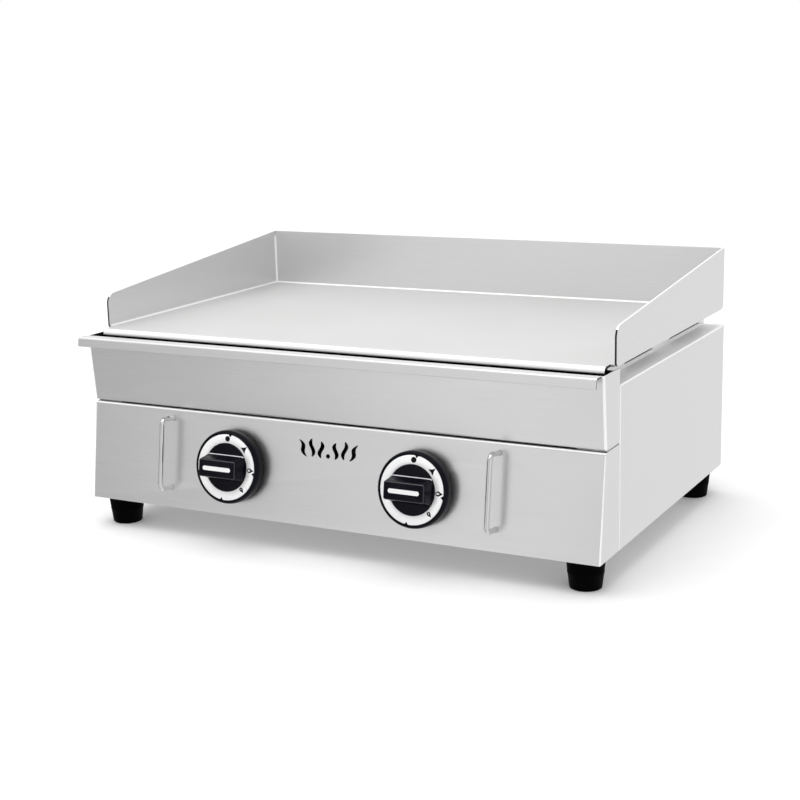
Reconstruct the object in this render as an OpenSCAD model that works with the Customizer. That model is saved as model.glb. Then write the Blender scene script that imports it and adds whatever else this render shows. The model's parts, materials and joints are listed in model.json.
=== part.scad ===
// Counter-top gas griddle with two burners, folded from stainless sheet.
// Millimetres, +Z up, front towards -Y, gas inlet towards +Y.
// The origin lies on the counter, under the middle of the outline.
// The modules work in the body's own frame: x from the middle, y from the front
// edge of the side panels, z from the underside of the body. place() moves them.

/* [Body] */
// Width over the side panels
body_w = 560; // [540:10:640]
// Depth of the side panels, front edge to back
body_d = 322; // [316:2:380]
// Height of the side ledges above the underside of the body
ledge_h = 153.8; // [150:0.2:156]
// Width of each side ledge
ledge_w = 21.8; // [18:0.2:26]
// Thickness of the folded sheet
sheet = 1.2; // [1:0.1:1.4]

/* [Front panel] */
// How far the lower edge stands in front of the side panels
panel_low_y = 49.5; // [47:0.5:52]
// How far the upper edge stands in front of the side panels
panel_top_y = 34.8; // [33:0.2:37]
// Height of the upper edge
panel_h = 99.8; // [96:0.2:101]
// Height of the flame-shaped viewing slots
flame_h = 17; // [12:1:20]

/* [Grease tray] */
// Height of the front rim
tray_h = 169.2; // [166:0.2:170]
// How far the rim stands in front of the side panels
tray_rim_y = 41; // [40:0.1:43]
// How far the tray reaches back behind the edge of the side panels
tray_back_y = 33; // [28:1:34]
// Height of the pan behind, which passes under the plate's nose
tray_back_h = 158; // [140:1:160]
// Open seam round the tray
seam = 1.5; // [1:0.1:2]
// How far the pull lip's fold stands in front of the side panels
lip_y = 51.5; // [50:0.5:54]
// Length of the pull lip to the left of the middle
lip_left = 284; // [275:1:284]
// Length of the pull lip to the right of the middle
lip_right = 277; // [275:1:284]

/* [Cooking plate] */
// Height of the cooking surface
plate_h = 173.4; // [173:0.2:176]
// Thickness of the stainless deck
deck = 2.4; // [2:0.1:3]
// Thickness of the steel slab under the deck
slab = 8; // [6:0.5:10]
// How far the rolled nose stands in front of the side panels
nose_y = 23.8; // [22:0.2:25]
// Width of the rolled nose
nose_w = 547; // [520:1:550]

/* [Splash guards] */
// Width over the side guards
guard_w = 558.6; // [550:0.2:559]
// Thickness of the guards
guard = 2.2; // [1.2:0.1:2.4]
// Height of the back guard's top edge
guard_back_h = 236.2; // [220:1:250]
// Height of the side guards at their front corner
guard_front_h = 207; // [195:1:215]

/* [Handles and feet] */
// Distance between the two handles
handle_pitch = 359; // [350:1:370]
// Diameter of the handle wire
handle_wire = 5; // [4:0.5:6]
// Reach of the handles in front of the panel
handle_reach = 22; // [20:1:26]
// Height of the rubber feet
foot_h = 30; // [25:1:40]
// Diameter of a foot where it meets the body
foot_top_d = 36.8; // [34:0.2:38]
// Diameter of a foot where it stands
foot_low_d = 30.2; // [28:0.2:34]

/* [Knobs and valves] */
// Distance between the two knobs
knob_pitch = 205; // [200:1:210]
// Outer diameter of a knob
knob_d = 73; // [68:1:74]
// Reach of a knob's grip in front of the panel
knob_reach = 32; // [30:1:36]
// Diameter of the valve stem
stem_d = 8; // [8:8]
// Travel of a knob when it is pushed in
push_travel = 4; // [3:0.5:4]

/* [Gas train] */
// Thread diameter of the gas inlet, G 1/2
inlet_d = 20.96; // [20.96:20.96]
// Free length of the inlet thread behind its lock nut
inlet_free = 16; // [14:1:20]
// Outer diameter of the burner tubes
burner_d = 26; // [24:1:28]

/* [Hidden] */
$fn = 48;

LEFT = -1;
RIGHT = 1;
half_w = body_w / 2;
inner_w = half_w - sheet;
riser_x = half_w - ledge_w;
deck_low = plate_h - deck;
slab_low = deck_low - slab;
guard_low = deck_low + 0.2;
guard_x = guard_w / 2 - guard;
guard_y = body_d - sheet;
guard_front_y = 8;

// The lower front panel leans forward at its foot
tilt = atan((panel_low_y - panel_top_y) / panel_h);
panel_rear_gap = 0.4;

// The tray continues the panel's top edge and leans forward at its rim
tray_low = panel_h + seam;
tray_lean = (tray_rim_y - panel_top_y) / (tray_h - panel_h);
tray_low_y = panel_top_y + seam * tray_lean;
tray_back_w = 250;
lip_low_y = lip_y + 1.5;
lip_low_h = tray_h - 9.6;
pocket_h = deck_low - 4.5;

// Clear of the knob, one hole for each stem
knob_shift = -3.5;
knob_v = 50;
stem_r = stem_d / 2;
running = 0.05;
knob_back = 4.5;
skirt_front = 15;
stem_tail = 31;
valve_front = 14;
valve_back = 50;
plug_front = 24.1;
plug_back = 45.9;
socket_depth = 41;

handle_shift = -1.5;
handle_low_v = 20.5;
handle_high_v = 91;

foot_x = 257;
foot_front_y = -24;
foot_rear_y = 297;

// Gas pipe: it runs across behind the panel, then back along the right side
manifold_v = 24;
manifold_depth = 40;
pipe_r = 9;
pipe_bore_r = 7.4;
pipe_bend = 20;
inlet_x = 235;
manifold_y = -panel_low_y + manifold_v * sin(tilt) + manifold_depth * cos(tilt);
manifold_z = manifold_v * cos(tilt) - manifold_depth * sin(tilt);
inlet_end_y = body_d + 6 + inlet_free;

// Burners: a mixing tube under the shield, a riser and a U of two legs
mixer_z = knob_v * cos(tilt) - 56 * sin(tilt);
mixer_y = 22;
mixer_r = 11.5;
mixer_bend = 18;
riser_y = 75;
burner_r = burner_d / 2;
burner_wall = 1;
burner_z = 112;
burner_bend = 24;
leg_in = 60;
leg_out = 190;
leg_end_y = 275;
shield_z = 64;
wall_y = 37;
spark_shift = 26;
spark_y = 52;

// The outline runs from the grips of the knobs to the end of the gas inlet
grip_face = 17;
grip_root = 25;

function knob_x(side) = knob_shift + side * knob_pitch / 2;
function handle_x(side) = handle_shift + side * handle_pitch / 2;
function spark_x(side) = knob_x(side) + side * spark_shift;
function unit(v) = v / norm(v);

// One corner p of an outline, rounded to radius r between neighbours a and b
function fillet(a, p, b, r) =
    r == 0 ? [p] :
    let (
        u = unit(a - p), w = unit(b - p), half = acos(u * w) / 2,
        centre = p + unit(u + w) * r / sin(half),
        from = p + u * r / tan(half) - centre,
        to = p + w * r / tan(half) - centre,
        sweep = 180 - 2 * half, steps = 6
    )
    [for (i = [0:steps]) let (k = i / steps)
        centre + (sin((1 - k) * sweep) * from + sin(k * sweep) * to) / sin(sweep)];

// Outline from corners [a, b, radius]
function rounded(corners) =
    let (n = len(corners))
    [for (i = [0:n - 1])
        let (a = corners[(i + n - 1) % n], p = corners[i], b = corners[(i + 1) % n])
        each fillet([a.x, a.y], [p.x, p.y], [b.x, b.y], p.z)];

function bezier(a, b, c, d, steps) =
    [for (i = [0:steps]) let (k = i / steps, m = 1 - k)
        m * m * m * a + 3 * m * m * k * b + 3 * m * k * k * c + k * k * k * d];

// A point in the body's frame from one given on a knob's own axis
function on_knob(side, x, y, z) = [
    knob_x(side) + x,
    -panel_low_y + (knob_v + y) * sin(tilt) - z * cos(tilt),
    (knob_v + y) * cos(tilt) + z * sin(tilt)
];

front_y = on_knob(LEFT, 0, -grip_face / 2, knob_reach).y;
mid_y = (front_y + inlet_end_y) / 2;

module place() translate([0, -mid_y, foot_h]) children();

// Frame on the front panel's face: y runs inwards, z up the slope
module on_panel() translate([0, -panel_low_y, 0]) rotate([-tilt, 0, 0]) children();

// Frame on a knob's axis: z runs outwards from the panel's face, y up the slope
module on_knob_axis(side)
    on_panel() translate([knob_x(side), 0, knob_v]) rotate([90, 0, 0]) children();

module block(low, high) translate(low) cube(high - low);

module side_mirror(side) mirror([side == LEFT ? 1 : 0, 0, 0]) children();

// Extrudes a (y, z) outline along x
module along_x(x0, x1)
    translate([x0, 0, 0]) rotate([90, 0, 90]) linear_extrude(x1 - x0) children();

// Extrudes an (x, z) outline along y
module along_y(y0, y1)
    translate([0, y1, 0]) rotate([90, 0, 0]) linear_extrude(y1 - y0) children();

module rod_x(x0, x1, y, z, r) translate([x0, y, z]) rotate([0, 90, 0]) cylinder(r = r, h = x1 - x0);
module rod_y(y0, y1, x, z, r) translate([x, y0, z]) rotate([-90, 0, 0]) cylinder(r = r, h = y1 - y0);
module rod_z(z0, z1, x, y, r) translate([x, y, z0]) cylinder(r = r, h = z1 - z0);

// A slot with round ends, along the outline's first axis
module slot(length, width) {
    square([length - width, width], center = true);
    for (end = [-1, 1]) translate([end * (length - width) / 2, 0]) circle(width / 2);
}

// A quarter of a bent round bar, from its +x end to its +y end
module quarter(bend, r) rotate_extrude(angle = 90) translate([bend, 0]) circle(r);

// Tube of radius r along a path; across is a direction the path never takes
module swept(path, r, sides, across) {
    n = len(path);
    rings = [for (i = [0:n - 1])
        let (
            ahead = unit(path[min(i + 1, n - 1)] - path[max(i - 1, 0)]),
            a = unit(cross(ahead, across)), b = cross(ahead, a)
        )
        for (k = [0:sides - 1])
            path[i] + r * (cos(360 * k / sides) * a + sin(360 * k / sides) * b)];
    walls = [for (i = [0:n - 2]) for (k = [0:sides - 1])
        let (p = i * sides, q = p + sides, m = (k + 1) % sides)
        each [[p + k, q + m, p + m], [p + k, q + k, q + m]]];
    ends = [[for (k = [0:sides - 1]) k], [for (k = [sides - 1:-1:0]) (n - 1) * sides + k]];
    polyhedron(points = rings, faces = concat(walls, ends));
}

// ---- Casing -------------------------------------------------------------

module base_pan() color("silver") place() difference() {
    flange_h = 12;
    union() {
        block([-inner_w, -panel_low_y + sheet + 0.4, 0], [inner_w, guard_y, sheet]);
        for (side = [LEFT, RIGHT]) side_mirror(side)
            block([inner_w - sheet, 2, 0], [inner_w, guard_y, flange_h]);
    }
    // Air slots under the burners
    for (row = [0:4]) for (column = [-4:4])
        translate([column * 46, 110 + row * 34, -1]) linear_extrude(sheet + 2) slot(32, 6);
    for (x = [-foot_x, foot_x]) for (y = [foot_front_y, foot_rear_y])
        rod_z(-1, sheet + 1, x, y, 3.05);
}

// Outer wall, ledge, riser and a top flange under the deck
module side_panel(side) color("lightgray") place() difference() {
    flange = 14;
    slot_low = 157;
    slot_high = 165;
    side_mirror(side) along_y(0, body_d - sheet) polygon([
        [half_w, 0], [half_w, ledge_h], [riser_x, ledge_h], [riser_x, deck_low],
        [riser_x - flange, deck_low], [riser_x - flange, deck_low - sheet],
        [riser_x - sheet, deck_low - sheet], [riser_x - sheet, ledge_h - sheet],
        [inner_w, ledge_h - sheet], [inner_w, 0]
    ]);
    // Two flue slots through the riser
    side_mirror(side) for (span = [[71, 151], [205, 302]])
        block([riser_x - 3, span[0], slot_low], [riser_x + 1, span[1], slot_high]);
}
module left_side_panel() side_panel(LEFT);
module right_side_panel() side_panel(RIGHT);

module back_panel() color("lightgray") place() difference() {
    flange = 12;
    union() {
        along_y(guard_y, body_d) polygon([
            [-half_w, 0], [half_w, 0], [half_w, ledge_h], [riser_x, ledge_h],
            [riser_x, deck_low], [-riser_x, deck_low], [-riser_x, ledge_h],
            [-half_w, ledge_h]
        ]);
        for (side = [LEFT, RIGHT]) side_mirror(side) block(
            [inner_w - 2 * sheet, guard_y - flange, 14], [inner_w - sheet, guard_y, ledge_h - 8]);
    }
    // Flue louvres
    for (row = [0:1]) for (column = [-3:3])
        translate([column * 62, 0, 128 + row * 16]) along_y(guard_y - 1, body_d + 1) slot(48, 8);
    rod_y(guard_y - 1, body_d + 1, inlet_x, manifold_z, inlet_d / 2 + 0.3);
    for (x = [-262, 0, 262]) for (z = [26, 104]) if (x != 0 || z < 50)
        rod_y(guard_y - 1, body_d + 1, x, z, 2.1);
}

// An S-shaped stroke that narrows to both ends, in the panel's (x, v) plane
module flame_slot(x, lean, low, high, wave, width) {
    steps = 12;
    function middle(k) = [x + lean * k + wave * sin(360 * k), low + (high - low) * k];
    function half(k) = [width / 2 * sqrt(sin(180 * k)) + 0.3, 0];
    polygon(concat(
        [for (i = [0:steps]) middle(i / steps) - half(i / steps)],
        [for (i = [steps:-1:0]) middle(i / steps) + half(i / steps)]
    ));
}

// Left-hand wave of one slot, then the same for its mirrored partner
module flame_slots() {
    low = 67.5;
    for (side = [LEFT, RIGHT]) side_mirror(side) {
        flame_slot(8, 0, low, low + flame_h - 1, 1.6, 4.2);
        flame_slot(17.5, 1, low + 0.5, low + flame_h + 1, -1.6, 4);
        flame_slot(24, 8, low, low + flame_h - 1, 1.8, 4);
    }
    translate([0, low + 2.5]) circle(2.2);
}

module front_panel() color("lightgray") place() difference() {
    flange_back = 16;
    slope_sheet = sheet / cos(tilt);
    union() {
        along_x(-half_w, half_w) polygon([
            [-panel_low_y, 0], [-panel_top_y, panel_h],
            [-panel_top_y + flange_back, panel_h],
            [-panel_top_y + flange_back, panel_h - sheet],
            [-panel_top_y - sheet * tan(tilt) + slope_sheet, panel_h - sheet],
            [-panel_low_y + slope_sheet, 0]
        ]);
        for (side = [LEFT, RIGHT]) side_mirror(side) along_x(inner_w, half_w) polygon([
            [-panel_low_y + 0.5, 0], [-panel_top_y + 0.5, panel_h],
            [-panel_rear_gap, panel_h], [-panel_rear_gap, 0]
        ]);
    }
    for (side = [LEFT, RIGHT]) on_knob_axis(side)
        translate([0, 0, -4]) cylinder(r = 6.5, h = 8);
    on_panel() for (side = [LEFT, RIGHT]) for (v = [handle_low_v, handle_high_v])
        rod_y(-2, 4, handle_x(side), v, handle_wire / 2 + 0.05);
    on_panel() along_y(-2, 4) flame_slots();
}

// Fire wall between the valve space and the burners
module inner_wall() color("silver") place() difference() {
    along_y(wall_y, wall_y + sheet) polygon([
        [-inner_w + sheet, sheet], [inner_w - sheet, sheet],
        [inner_w - sheet, ledge_h - sheet], [riser_x - sheet, ledge_h - sheet],
        [riser_x - sheet, deck_low - sheet], [-riser_x + sheet, deck_low - sheet],
        [-riser_x + sheet, ledge_h - sheet], [-inner_w + sheet, ledge_h - sheet]
    ]);
    for (side = [LEFT, RIGHT]) {
        rod_y(wall_y - 1, wall_y + 3, knob_x(side), mixer_z, mixer_r + 0.3);
        rod_y(wall_y - 1, wall_y + 3, spark_x(side), 86, 3.5);
    }
    rod_y(wall_y - 1, wall_y + 3, inlet_x, manifold_z, pipe_r + 0.5);
}

// Sheet under the burners that keeps the heat off the base and the pipe
module heat_shield() color("silver") place() difference() {
    union() {
        block([-inner_w + sheet, wall_y + sheet, shield_z],
            [inner_w - sheet, guard_y - 12, shield_z + sheet]);
        for (side = [LEFT, RIGHT]) side_mirror(side) block(
            [inner_w - 2 * sheet, wall_y + sheet, shield_z - 12],
            [inner_w - sheet, guard_y - 14, shield_z]);
    }
    for (side = [LEFT, RIGHT]) rod_z(shield_z - 1, shield_z + 3, knob_x(side), riser_y, 14);
}

module tray_runner(side) color("darkgray") place() side_mirror(side) {
    block([tray_back_w + 1, -30, panel_h], [inner_w, wall_y, panel_h + sheet]);
    block([inner_w - sheet, -30, panel_h - 14], [inner_w, wall_y, panel_h - sheet]);
    block([inner_w - sheet, -18, panel_h - sheet], [inner_w, wall_y, panel_h]);
}
module left_tray_runner() tray_runner(LEFT);
module right_tray_runner() tray_runner(RIGHT);

// ---- Cooking surface and guards -----------------------------------------

module griddle_plate() color("gainsboro") place() union() {
    nose_low = 167.3;
    block([-guard_x, -guard_front_y, deck_low], [guard_x, guard_y - guard, plate_h]);
    along_x(-nose_w / 2, nose_w / 2) polygon(rounded([
        [-guard_front_y, plate_h, 0], [-nose_y, plate_h, 5.5], [-nose_y, nose_low, 0],
        [-nose_y + deck, nose_low, 0], [-nose_y + deck, deck_low, 3.1],
        [-guard_front_y, deck_low, 0]
    ]));
}

module heat_slab() color("dimgray") place()
    block([-240, 50, slab_low], [240, 308, deck_low]);

module side_guard(side) color("silver") place() side_mirror(side)
    along_x(guard_x, guard_x + guard) polygon(rounded([
        [-guard_front_y, guard_low, 4], [-guard_front_y, guard_front_h, 11],
        [guard_y, guard_back_h, 0], [guard_y, guard_low, 6]
    ]));
module left_splash_guard() side_guard(LEFT);
module right_splash_guard() side_guard(RIGHT);

module back_splash_guard() color("silver") place()
    block([-guard_x, guard_y - guard, guard_low], [guard_x, guard_y, guard_back_h]);

// ---- Handles and feet ---------------------------------------------------

module handle(side) color("whitesmoke") place() on_panel() translate([handle_x(side), 0, 0]) {
    r = handle_wire / 2;
    bend = 6;
    grip_y = -handle_reach + r;
    leg_y = grip_y + bend;
    for (v = [handle_low_v, handle_high_v]) rod_y(leg_y, 9, 0, v, r);
    rod_z(handle_low_v + bend, handle_high_v - bend, 0, grip_y, r);
    translate([0, leg_y, handle_low_v + bend]) mirror([0, 1, 0]) rotate([0, 90, 0])
        quarter(bend, r);
    translate([0, leg_y, handle_high_v - bend]) mirror([0, 0, 1]) mirror([0, 1, 0])
        rotate([0, 90, 0]) quarter(bend, r);
}
module left_handle() handle(LEFT);
module right_handle() handle(RIGHT);

module handle_nuts() color("silver") place() on_panel()
    for (side = [LEFT, RIGHT]) for (v = [handle_low_v, handle_high_v]) difference() {
        translate([handle_x(side), sheet + 0.1, v]) rotate([-90, 0, 0])
            cylinder(r = 4.8, h = 4, $fn = 6);
        rod_y(0, 8, handle_x(side), v, handle_wire / 2);
    }

module foot(x, y) color([0.06, 0.06, 0.06]) place() translate([x, y, -foot_h]) difference() {
    cylinder(r1 = foot_low_d / 2, r2 = foot_top_d / 2, h = foot_h);
    translate([0, 0, -1]) cylinder(r = 7, h = 19);
    translate([0, 0, 10]) cylinder(r = 3.05, h = foot_h);
}
module front_left_foot() foot(-foot_x, foot_front_y);
module front_right_foot() foot(foot_x, foot_front_y);
module rear_left_foot() foot(-foot_x, foot_rear_y);
module rear_right_foot() foot(foot_x, foot_rear_y);

// Screw up through each foot, with its nut inside the body
module foot_screws() color("silver") place()
    for (x = [-foot_x, foot_x]) for (y = [foot_front_y, foot_rear_y]) translate([x, y, 0]) {
        rod_z(-16, -12, 0, 0, 5.5);
        rod_z(-12, 9, 0, 0, 3);
        translate([0, 0, sheet]) cylinder(r = 5.8, h = 5, $fn = 6);
    }

module panel_screws() color("silver") place()
    for (x = [-262, 0, 262]) for (z = [26, 104]) if (x != 0 || z < 50) {
        rod_y(body_d, body_d + 2.2, x, z, 4);
        rod_y(guard_y - 5, body_d, x, z, 2);
    }

// ---- Gas train ----------------------------------------------------------

module gas_manifold() color("goldenrod") place() difference() {
    end_x = inlet_x - pipe_bend;
    rod_x(-130, end_x, manifold_y, manifold_z, pipe_r);
    rod_x(-127, end_x + 1, manifold_y, manifold_z, pipe_bore_r);
}

module gas_inlet_pipe() color("silver") place() difference() {
    start = [inlet_x - pipe_bend, manifold_y + pipe_bend, manifold_z];
    nut_y = body_d + 6;
    union() {
        translate(start) rotate([0, 0, -90]) quarter(pipe_bend, pipe_r);
        rod_y(start.y, 300, inlet_x, manifold_z, pipe_r);
        rod_y(300, nut_y, inlet_x, manifold_z, inlet_d / 2 - 0.2);
        rod_y(nut_y, inlet_end_y, inlet_x, manifold_z, inlet_d / 2);
    }
    translate(start) rotate([0, 0, -90]) quarter(pipe_bend, pipe_bore_r);
    rod_y(start.y, inlet_end_y + 1, inlet_x, manifold_z, pipe_bore_r);
}

module inlet_lock_nut() color("goldenrod") place() difference() {
    translate([inlet_x, body_d, manifold_z]) rotate([-90, 0, 0])
        cylinder(r = 15, h = 6, $fn = 6);
    rod_y(body_d - 1, body_d + 7, inlet_x, manifold_z, inlet_d / 2 - 0.2);
}

// Clip round the gas pipe, standing on the base
module manifold_bracket(x) color("silver") place() difference() {
    union() {
        block([x, manifold_y - 13, sheet], [x + 2, manifold_y + 13, manifold_z + 13]);
        block([x + 2, manifold_y - 13, sheet], [x + 14, manifold_y + 13, sheet + 2]);
    }
    rod_x(x - 1, x + 3, manifold_y, manifold_z, pipe_r);
}
module left_manifold_bracket() manifold_bracket(-60);
module right_manifold_bracket() manifold_bracket(150);

// Brass tap: neck for the stem, barrel for the plug, saddle on the gas pipe
module valve_body(side) color("goldenrod") place() difference() {
    on_knob_axis(side) union() {
        translate([0, 0, -plug_front]) cylinder(r = 8, h = plug_front - valve_front);
        translate([0, 0, -valve_back]) cylinder(r = 13, h = valve_back - plug_front + 3);
        translate([0, 0, -valve_back - 4]) cylinder(r = 7, h = 6);
        translate([0, -8, -manifold_depth]) rotate([90, 0, 0]) cylinder(r = 6.5, h = 14);
    }
    on_knob_axis(side) union() {
        translate([0, 0, -plug_front]) cylinder(r = stem_r + running, h = 20);
        translate([0, 0, -plug_back - 0.1])
            cylinder(r = 9, h = plug_back - plug_front + 0.2);
    }
    rod_x(-140, 220, manifold_y, manifold_z, pipe_r);
}
module left_valve_body() valve_body(LEFT);
module right_valve_body() valve_body(RIGHT);

module injector(side) color("gold") place() difference() {
    tail = on_knob(side, 0, 0, -valve_back - 4);
    union() {
        translate([knob_x(side), tail.y - 3, mixer_z]) rotate([-90, 0, 0])
            cylinder(r = 6.5, h = 11, $fn = 6);
        rod_y(tail.y + 2, mixer_y + 4, knob_x(side), mixer_z, 4);
    }
    on_knob_axis(side) translate([0, 0, -valve_back - 4]) cylinder(r = 14, h = 20);
}
module left_injector() injector(LEFT);
module right_injector() injector(RIGHT);

// One burner grown or shrunk by its wall: inset 0 is the outside
module burner_volume(side, inset) {
    r = burner_r - inset;
    tube_r = mixer_r - inset;
    x = knob_x(side);
    cross_in = leg_in + burner_bend;
    cross_out = leg_out - burner_bend;
    rod_y(mixer_y - inset, riser_y - mixer_bend, x, mixer_z, tube_r);
    translate([x, riser_y - mixer_bend, mixer_z + mixer_bend]) rotate([0, 0, 90])
        rotate([90, 0, 0]) rotate([0, 0, -90]) quarter(mixer_bend, tube_r);
    rod_z(mixer_z + mixer_bend, burner_z - burner_wall * 2, x, riser_y, tube_r);
    side_mirror(side) {
        rod_x(cross_in, cross_out, riser_y, burner_z, r);
        translate([cross_out, riser_y + burner_bend, burner_z]) rotate([0, 0, -90])
            quarter(burner_bend, r);
        translate([cross_in, riser_y + burner_bend, burner_z]) rotate([0, 0, 180])
            quarter(burner_bend, r);
        for (leg = [leg_in, leg_out])
            rod_y(riser_y + burner_bend, leg_end_y - inset, leg, burner_z, r);
    }
}

module burner(side) color("darkgray") place() difference() {
    difference() {
        burner_volume(side, 0);
        burner_volume(side, burner_wall);
    }
    // Flame ports along the top of both legs
    for (leg = [leg_in, leg_out]) for (i = [0:11])
        rod_z(burner_z + burner_r - 4, burner_z + burner_r + 2, side * leg, 108 + i * 14, 1.4);
    // Air windows of the mixing tube
    for (turn = [0, 180]) translate([knob_x(side), 26, mixer_z]) rotate([0, turn, 0])
        block([6, 0, -5], [14, 7, 5]);
}
module left_burner() burner(LEFT);
module right_burner() burner(RIGHT);

module burner_rail() color("silver") place() {
    low = shield_z + sheet;
    high = burner_z - burner_r;
    along_x(-230, 230) polygon([
        [282, low], [262, low], [262, low + sheet], [280.8, low + sheet],
        [280.8, high - sheet], [258, high - sheet], [258, high], [282, high]
    ]);
}

// Piezo spark unit on top of a valve
module igniter(side) color([0.08, 0.08, 0.09]) place() on_knob_axis(side) {
    translate([-9, 13, -46]) cube([18, 14, 20]);
    translate([0, 20, -56]) cylinder(r = 4, h = 10);
}
module left_igniter() igniter(LEFT);
module right_igniter() igniter(RIGHT);

// Spark lead from the igniter, through the fire wall, to the ceramic
module ignition_lead(side) color([0.5, 0.1, 0.08]) place() {
    from = on_knob(side, 0, 20, -56.6);
    hole = [spark_x(side), wall_y, 86];
    end = [spark_x(side), spark_y, 92];
    first = bezier(from, from + [0, 8, -1], hole - [0, 13, 0], hole, 12);
    last = bezier(hole, hole + [0, 9, 0], end - [0, 0, 6], end, 8);
    swept(concat(first, [for (i = [1:8]) last[i]]), 1.5, 8, [1, 0.2, 0]);
}
module left_ignition_lead() ignition_lead(LEFT);
module right_ignition_lead() ignition_lead(RIGHT);

module ceramic(side) color("ivory") place() union() {
    rod_z(92, 118, spark_x(side), spark_y, 3.4);
    rod_z(98, 100, spark_x(side), spark_y, 5);
}
module left_ceramic() ceramic(LEFT);
module right_ceramic() ceramic(RIGHT);

// Spark wire above the ceramic, and the clamp that holds it to the fire wall
module electrode(side) color("silver") place() {
    x = spark_x(side);
    difference() {
        block([x - 8, wall_y + sheet, 100], [x + 8, spark_y + 8, 100 + sheet]);
        rod_z(99, 103, x, spark_y, 3.4);
    }
    block([x - 8, wall_y + sheet, 100 + sheet], [x + 8, wall_y + 2 * sheet, 110]);
    rod_z(118, 126, x, spark_y, 1.1);
    translate([x, spark_y + 4, 126]) rotate([0, 0, 90]) rotate([90, 0, 0])
        rotate([0, 0, 90]) quarter(4, 1.1);
    rod_y(spark_y + 4, spark_y + 10, x, 130, 1.1);
}
module left_electrode() electrode(LEFT);
module right_electrode() electrode(RIGHT);

// ---- Moving pieces ------------------------------------------------------

module valve_plug(side) color("goldenrod") place() on_knob_axis(side) difference() {
    translate([0, 0, -plug_back]) cylinder(r = 9 - running, h = plug_back - plug_front);
    translate([0, 0, -socket_depth]) cylinder(r = stem_r + running, h = 20);
}
module left_valve_plug() valve_plug(LEFT);
module right_valve_plug() valve_plug(RIGHT);

module valve_stem(side) color("silver") place() on_knob_axis(side)
    translate([0, 0, -stem_tail]) cylinder(r = stem_r, h = stem_tail + knob_reach - 8);
module left_valve_stem() valve_stem(LEFT);
module right_valve_stem() valve_stem(RIGHT);

// Coil spring behind the stem, inside the plug's socket
module return_spring(side) color("silver") place() on_knob_axis(side) {
    wire_r = 0.4;
    coil_r = 3;
    turns = 5;
    length = socket_depth - stem_tail - 2 * wire_r - 0.1;
    path = [for (i = [0:turns * 12]) let (a = i * 30)
        [coil_r * cos(a), coil_r * sin(a),
            -socket_depth + wire_r + 0.05 + length * i / (turns * 12)]];
    swept(path, wire_r, 6, [0, 0, 1]);
}
module left_return_spring() return_spring(LEFT);
module right_return_spring() return_spring(RIGHT);

// Skirt with a groove for the dial ring, hub and a straight grip
module knob(side) color([0.07, 0.07, 0.09]) place() on_knob_axis(side) difference() {
    r = knob_d / 2;
    union() {
        rotate_extrude() polygon(rounded([
            [0, knob_back, 0], [r - 1, knob_back, 0.8], [r, skirt_front - 4, 3],
            [r - 2.4, skirt_front + 1, 1.2], [r - 3.2, skirt_front + 0.6, 0],
            [r - 3.2, skirt_front - 0.2, 0], [23.8, skirt_front - 0.2, 0],
            [23.8, skirt_front + 1.6, 1], [0, skirt_front + 1.6, 0]
        ]));
        hull() {
            translate([-22, -grip_root / 2, skirt_front + 1]) cube([44, grip_root, 1]);
            translate([-21, -grip_face / 2, knob_reach - 1]) cube([42, grip_face, 1]);
        }
    }
    // Hollow behind, with a sleeve round the stem
    translate([0, 0, knob_back - 1]) difference() {
        cylinder(r = r - 4, h = 8);
        cylinder(r = 9, h = 8);
    }
    translate([0, 0, 0]) cylinder(r = stem_r, h = knob_reach - 8);
}
module left_knob() knob(LEFT);
module right_knob() knob(RIGHT);

module dial_ring(side) color("silver") place() on_knob_axis(side)
    translate([0, 0, skirt_front - 0.2]) difference() {
        cylinder(r = 32.6, h = 0.8);
        translate([0, 0, -1]) cylinder(r = 24.1, h = 3);
    }
module left_dial_ring() dial_ring(LEFT);
module right_dial_ring() dial_ring(RIGHT);

// Sleeve that turns on the mixing tube and covers its air windows
module air_shutter(side) color("silver") place() difference() {
    rod_y(23, 35, knob_x(side), mixer_z, mixer_r + 1.2);
    rod_y(22, 36, knob_x(side), mixer_z, mixer_r + running);
    for (turn = [0, 180]) translate([knob_x(side), 26.5, mixer_z]) rotate([0, turn, 0])
        block([6, 0, -4.5], [14, 6, 4.5]);
}
module left_air_shutter() air_shutter(LEFT);
module right_air_shutter() air_shutter(RIGHT);

// Trough across the whole front, with a narrower pan under the plate's nose
module grease_tray() color("lightgray") place() {
    floor_h = tray_low + sheet;
    over = tray_h + 5;
    over_y = tray_low_y + (over - tray_low) * tray_lean;
    wall = sheet + 0.02;
    difference() {
        union() {
            along_x(-half_w, half_w) polygon([
                [-seam, tray_low], [-tray_low_y, tray_low],
                [-tray_rim_y, tray_h], [-seam, tray_h]
            ]);
            block([-tray_back_w, -seam - 1, tray_low], [tray_back_w, tray_back_y, tray_back_h]);
        }
        along_x(-inner_w, inner_w) polygon([
            [-seam - sheet, floor_h], [-tray_low_y + wall, floor_h],
            [-over_y + wall, over], [-seam - sheet, over]
        ]);
        block([-tray_back_w + sheet, -seam - 3, floor_h],
            [tray_back_w - sheet, tray_back_y - sheet, over]);
        // The pan's sides and the trough's back wall stay below the nose
        block([-tray_back_w, -seam - 3, tray_back_h], [tray_back_w, tray_back_y + 1, over]);
        block([-inner_w, -seam - 3, pocket_h], [inner_w, 0, over]);
    }
    root_y = -tray_rim_y + sheet / 2;
    along_x(-lip_left, lip_right) polygon(rounded([
        [root_y, tray_h, 0], [-lip_y, tray_h, 2.5], [-lip_low_y, lip_low_h, 0],
        [-lip_low_y + sheet, lip_low_h, 0], [-lip_y + sheet, tray_h - sheet, 1.3],
        [root_y, tray_h - sheet, 0]
    ]));
}

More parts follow.
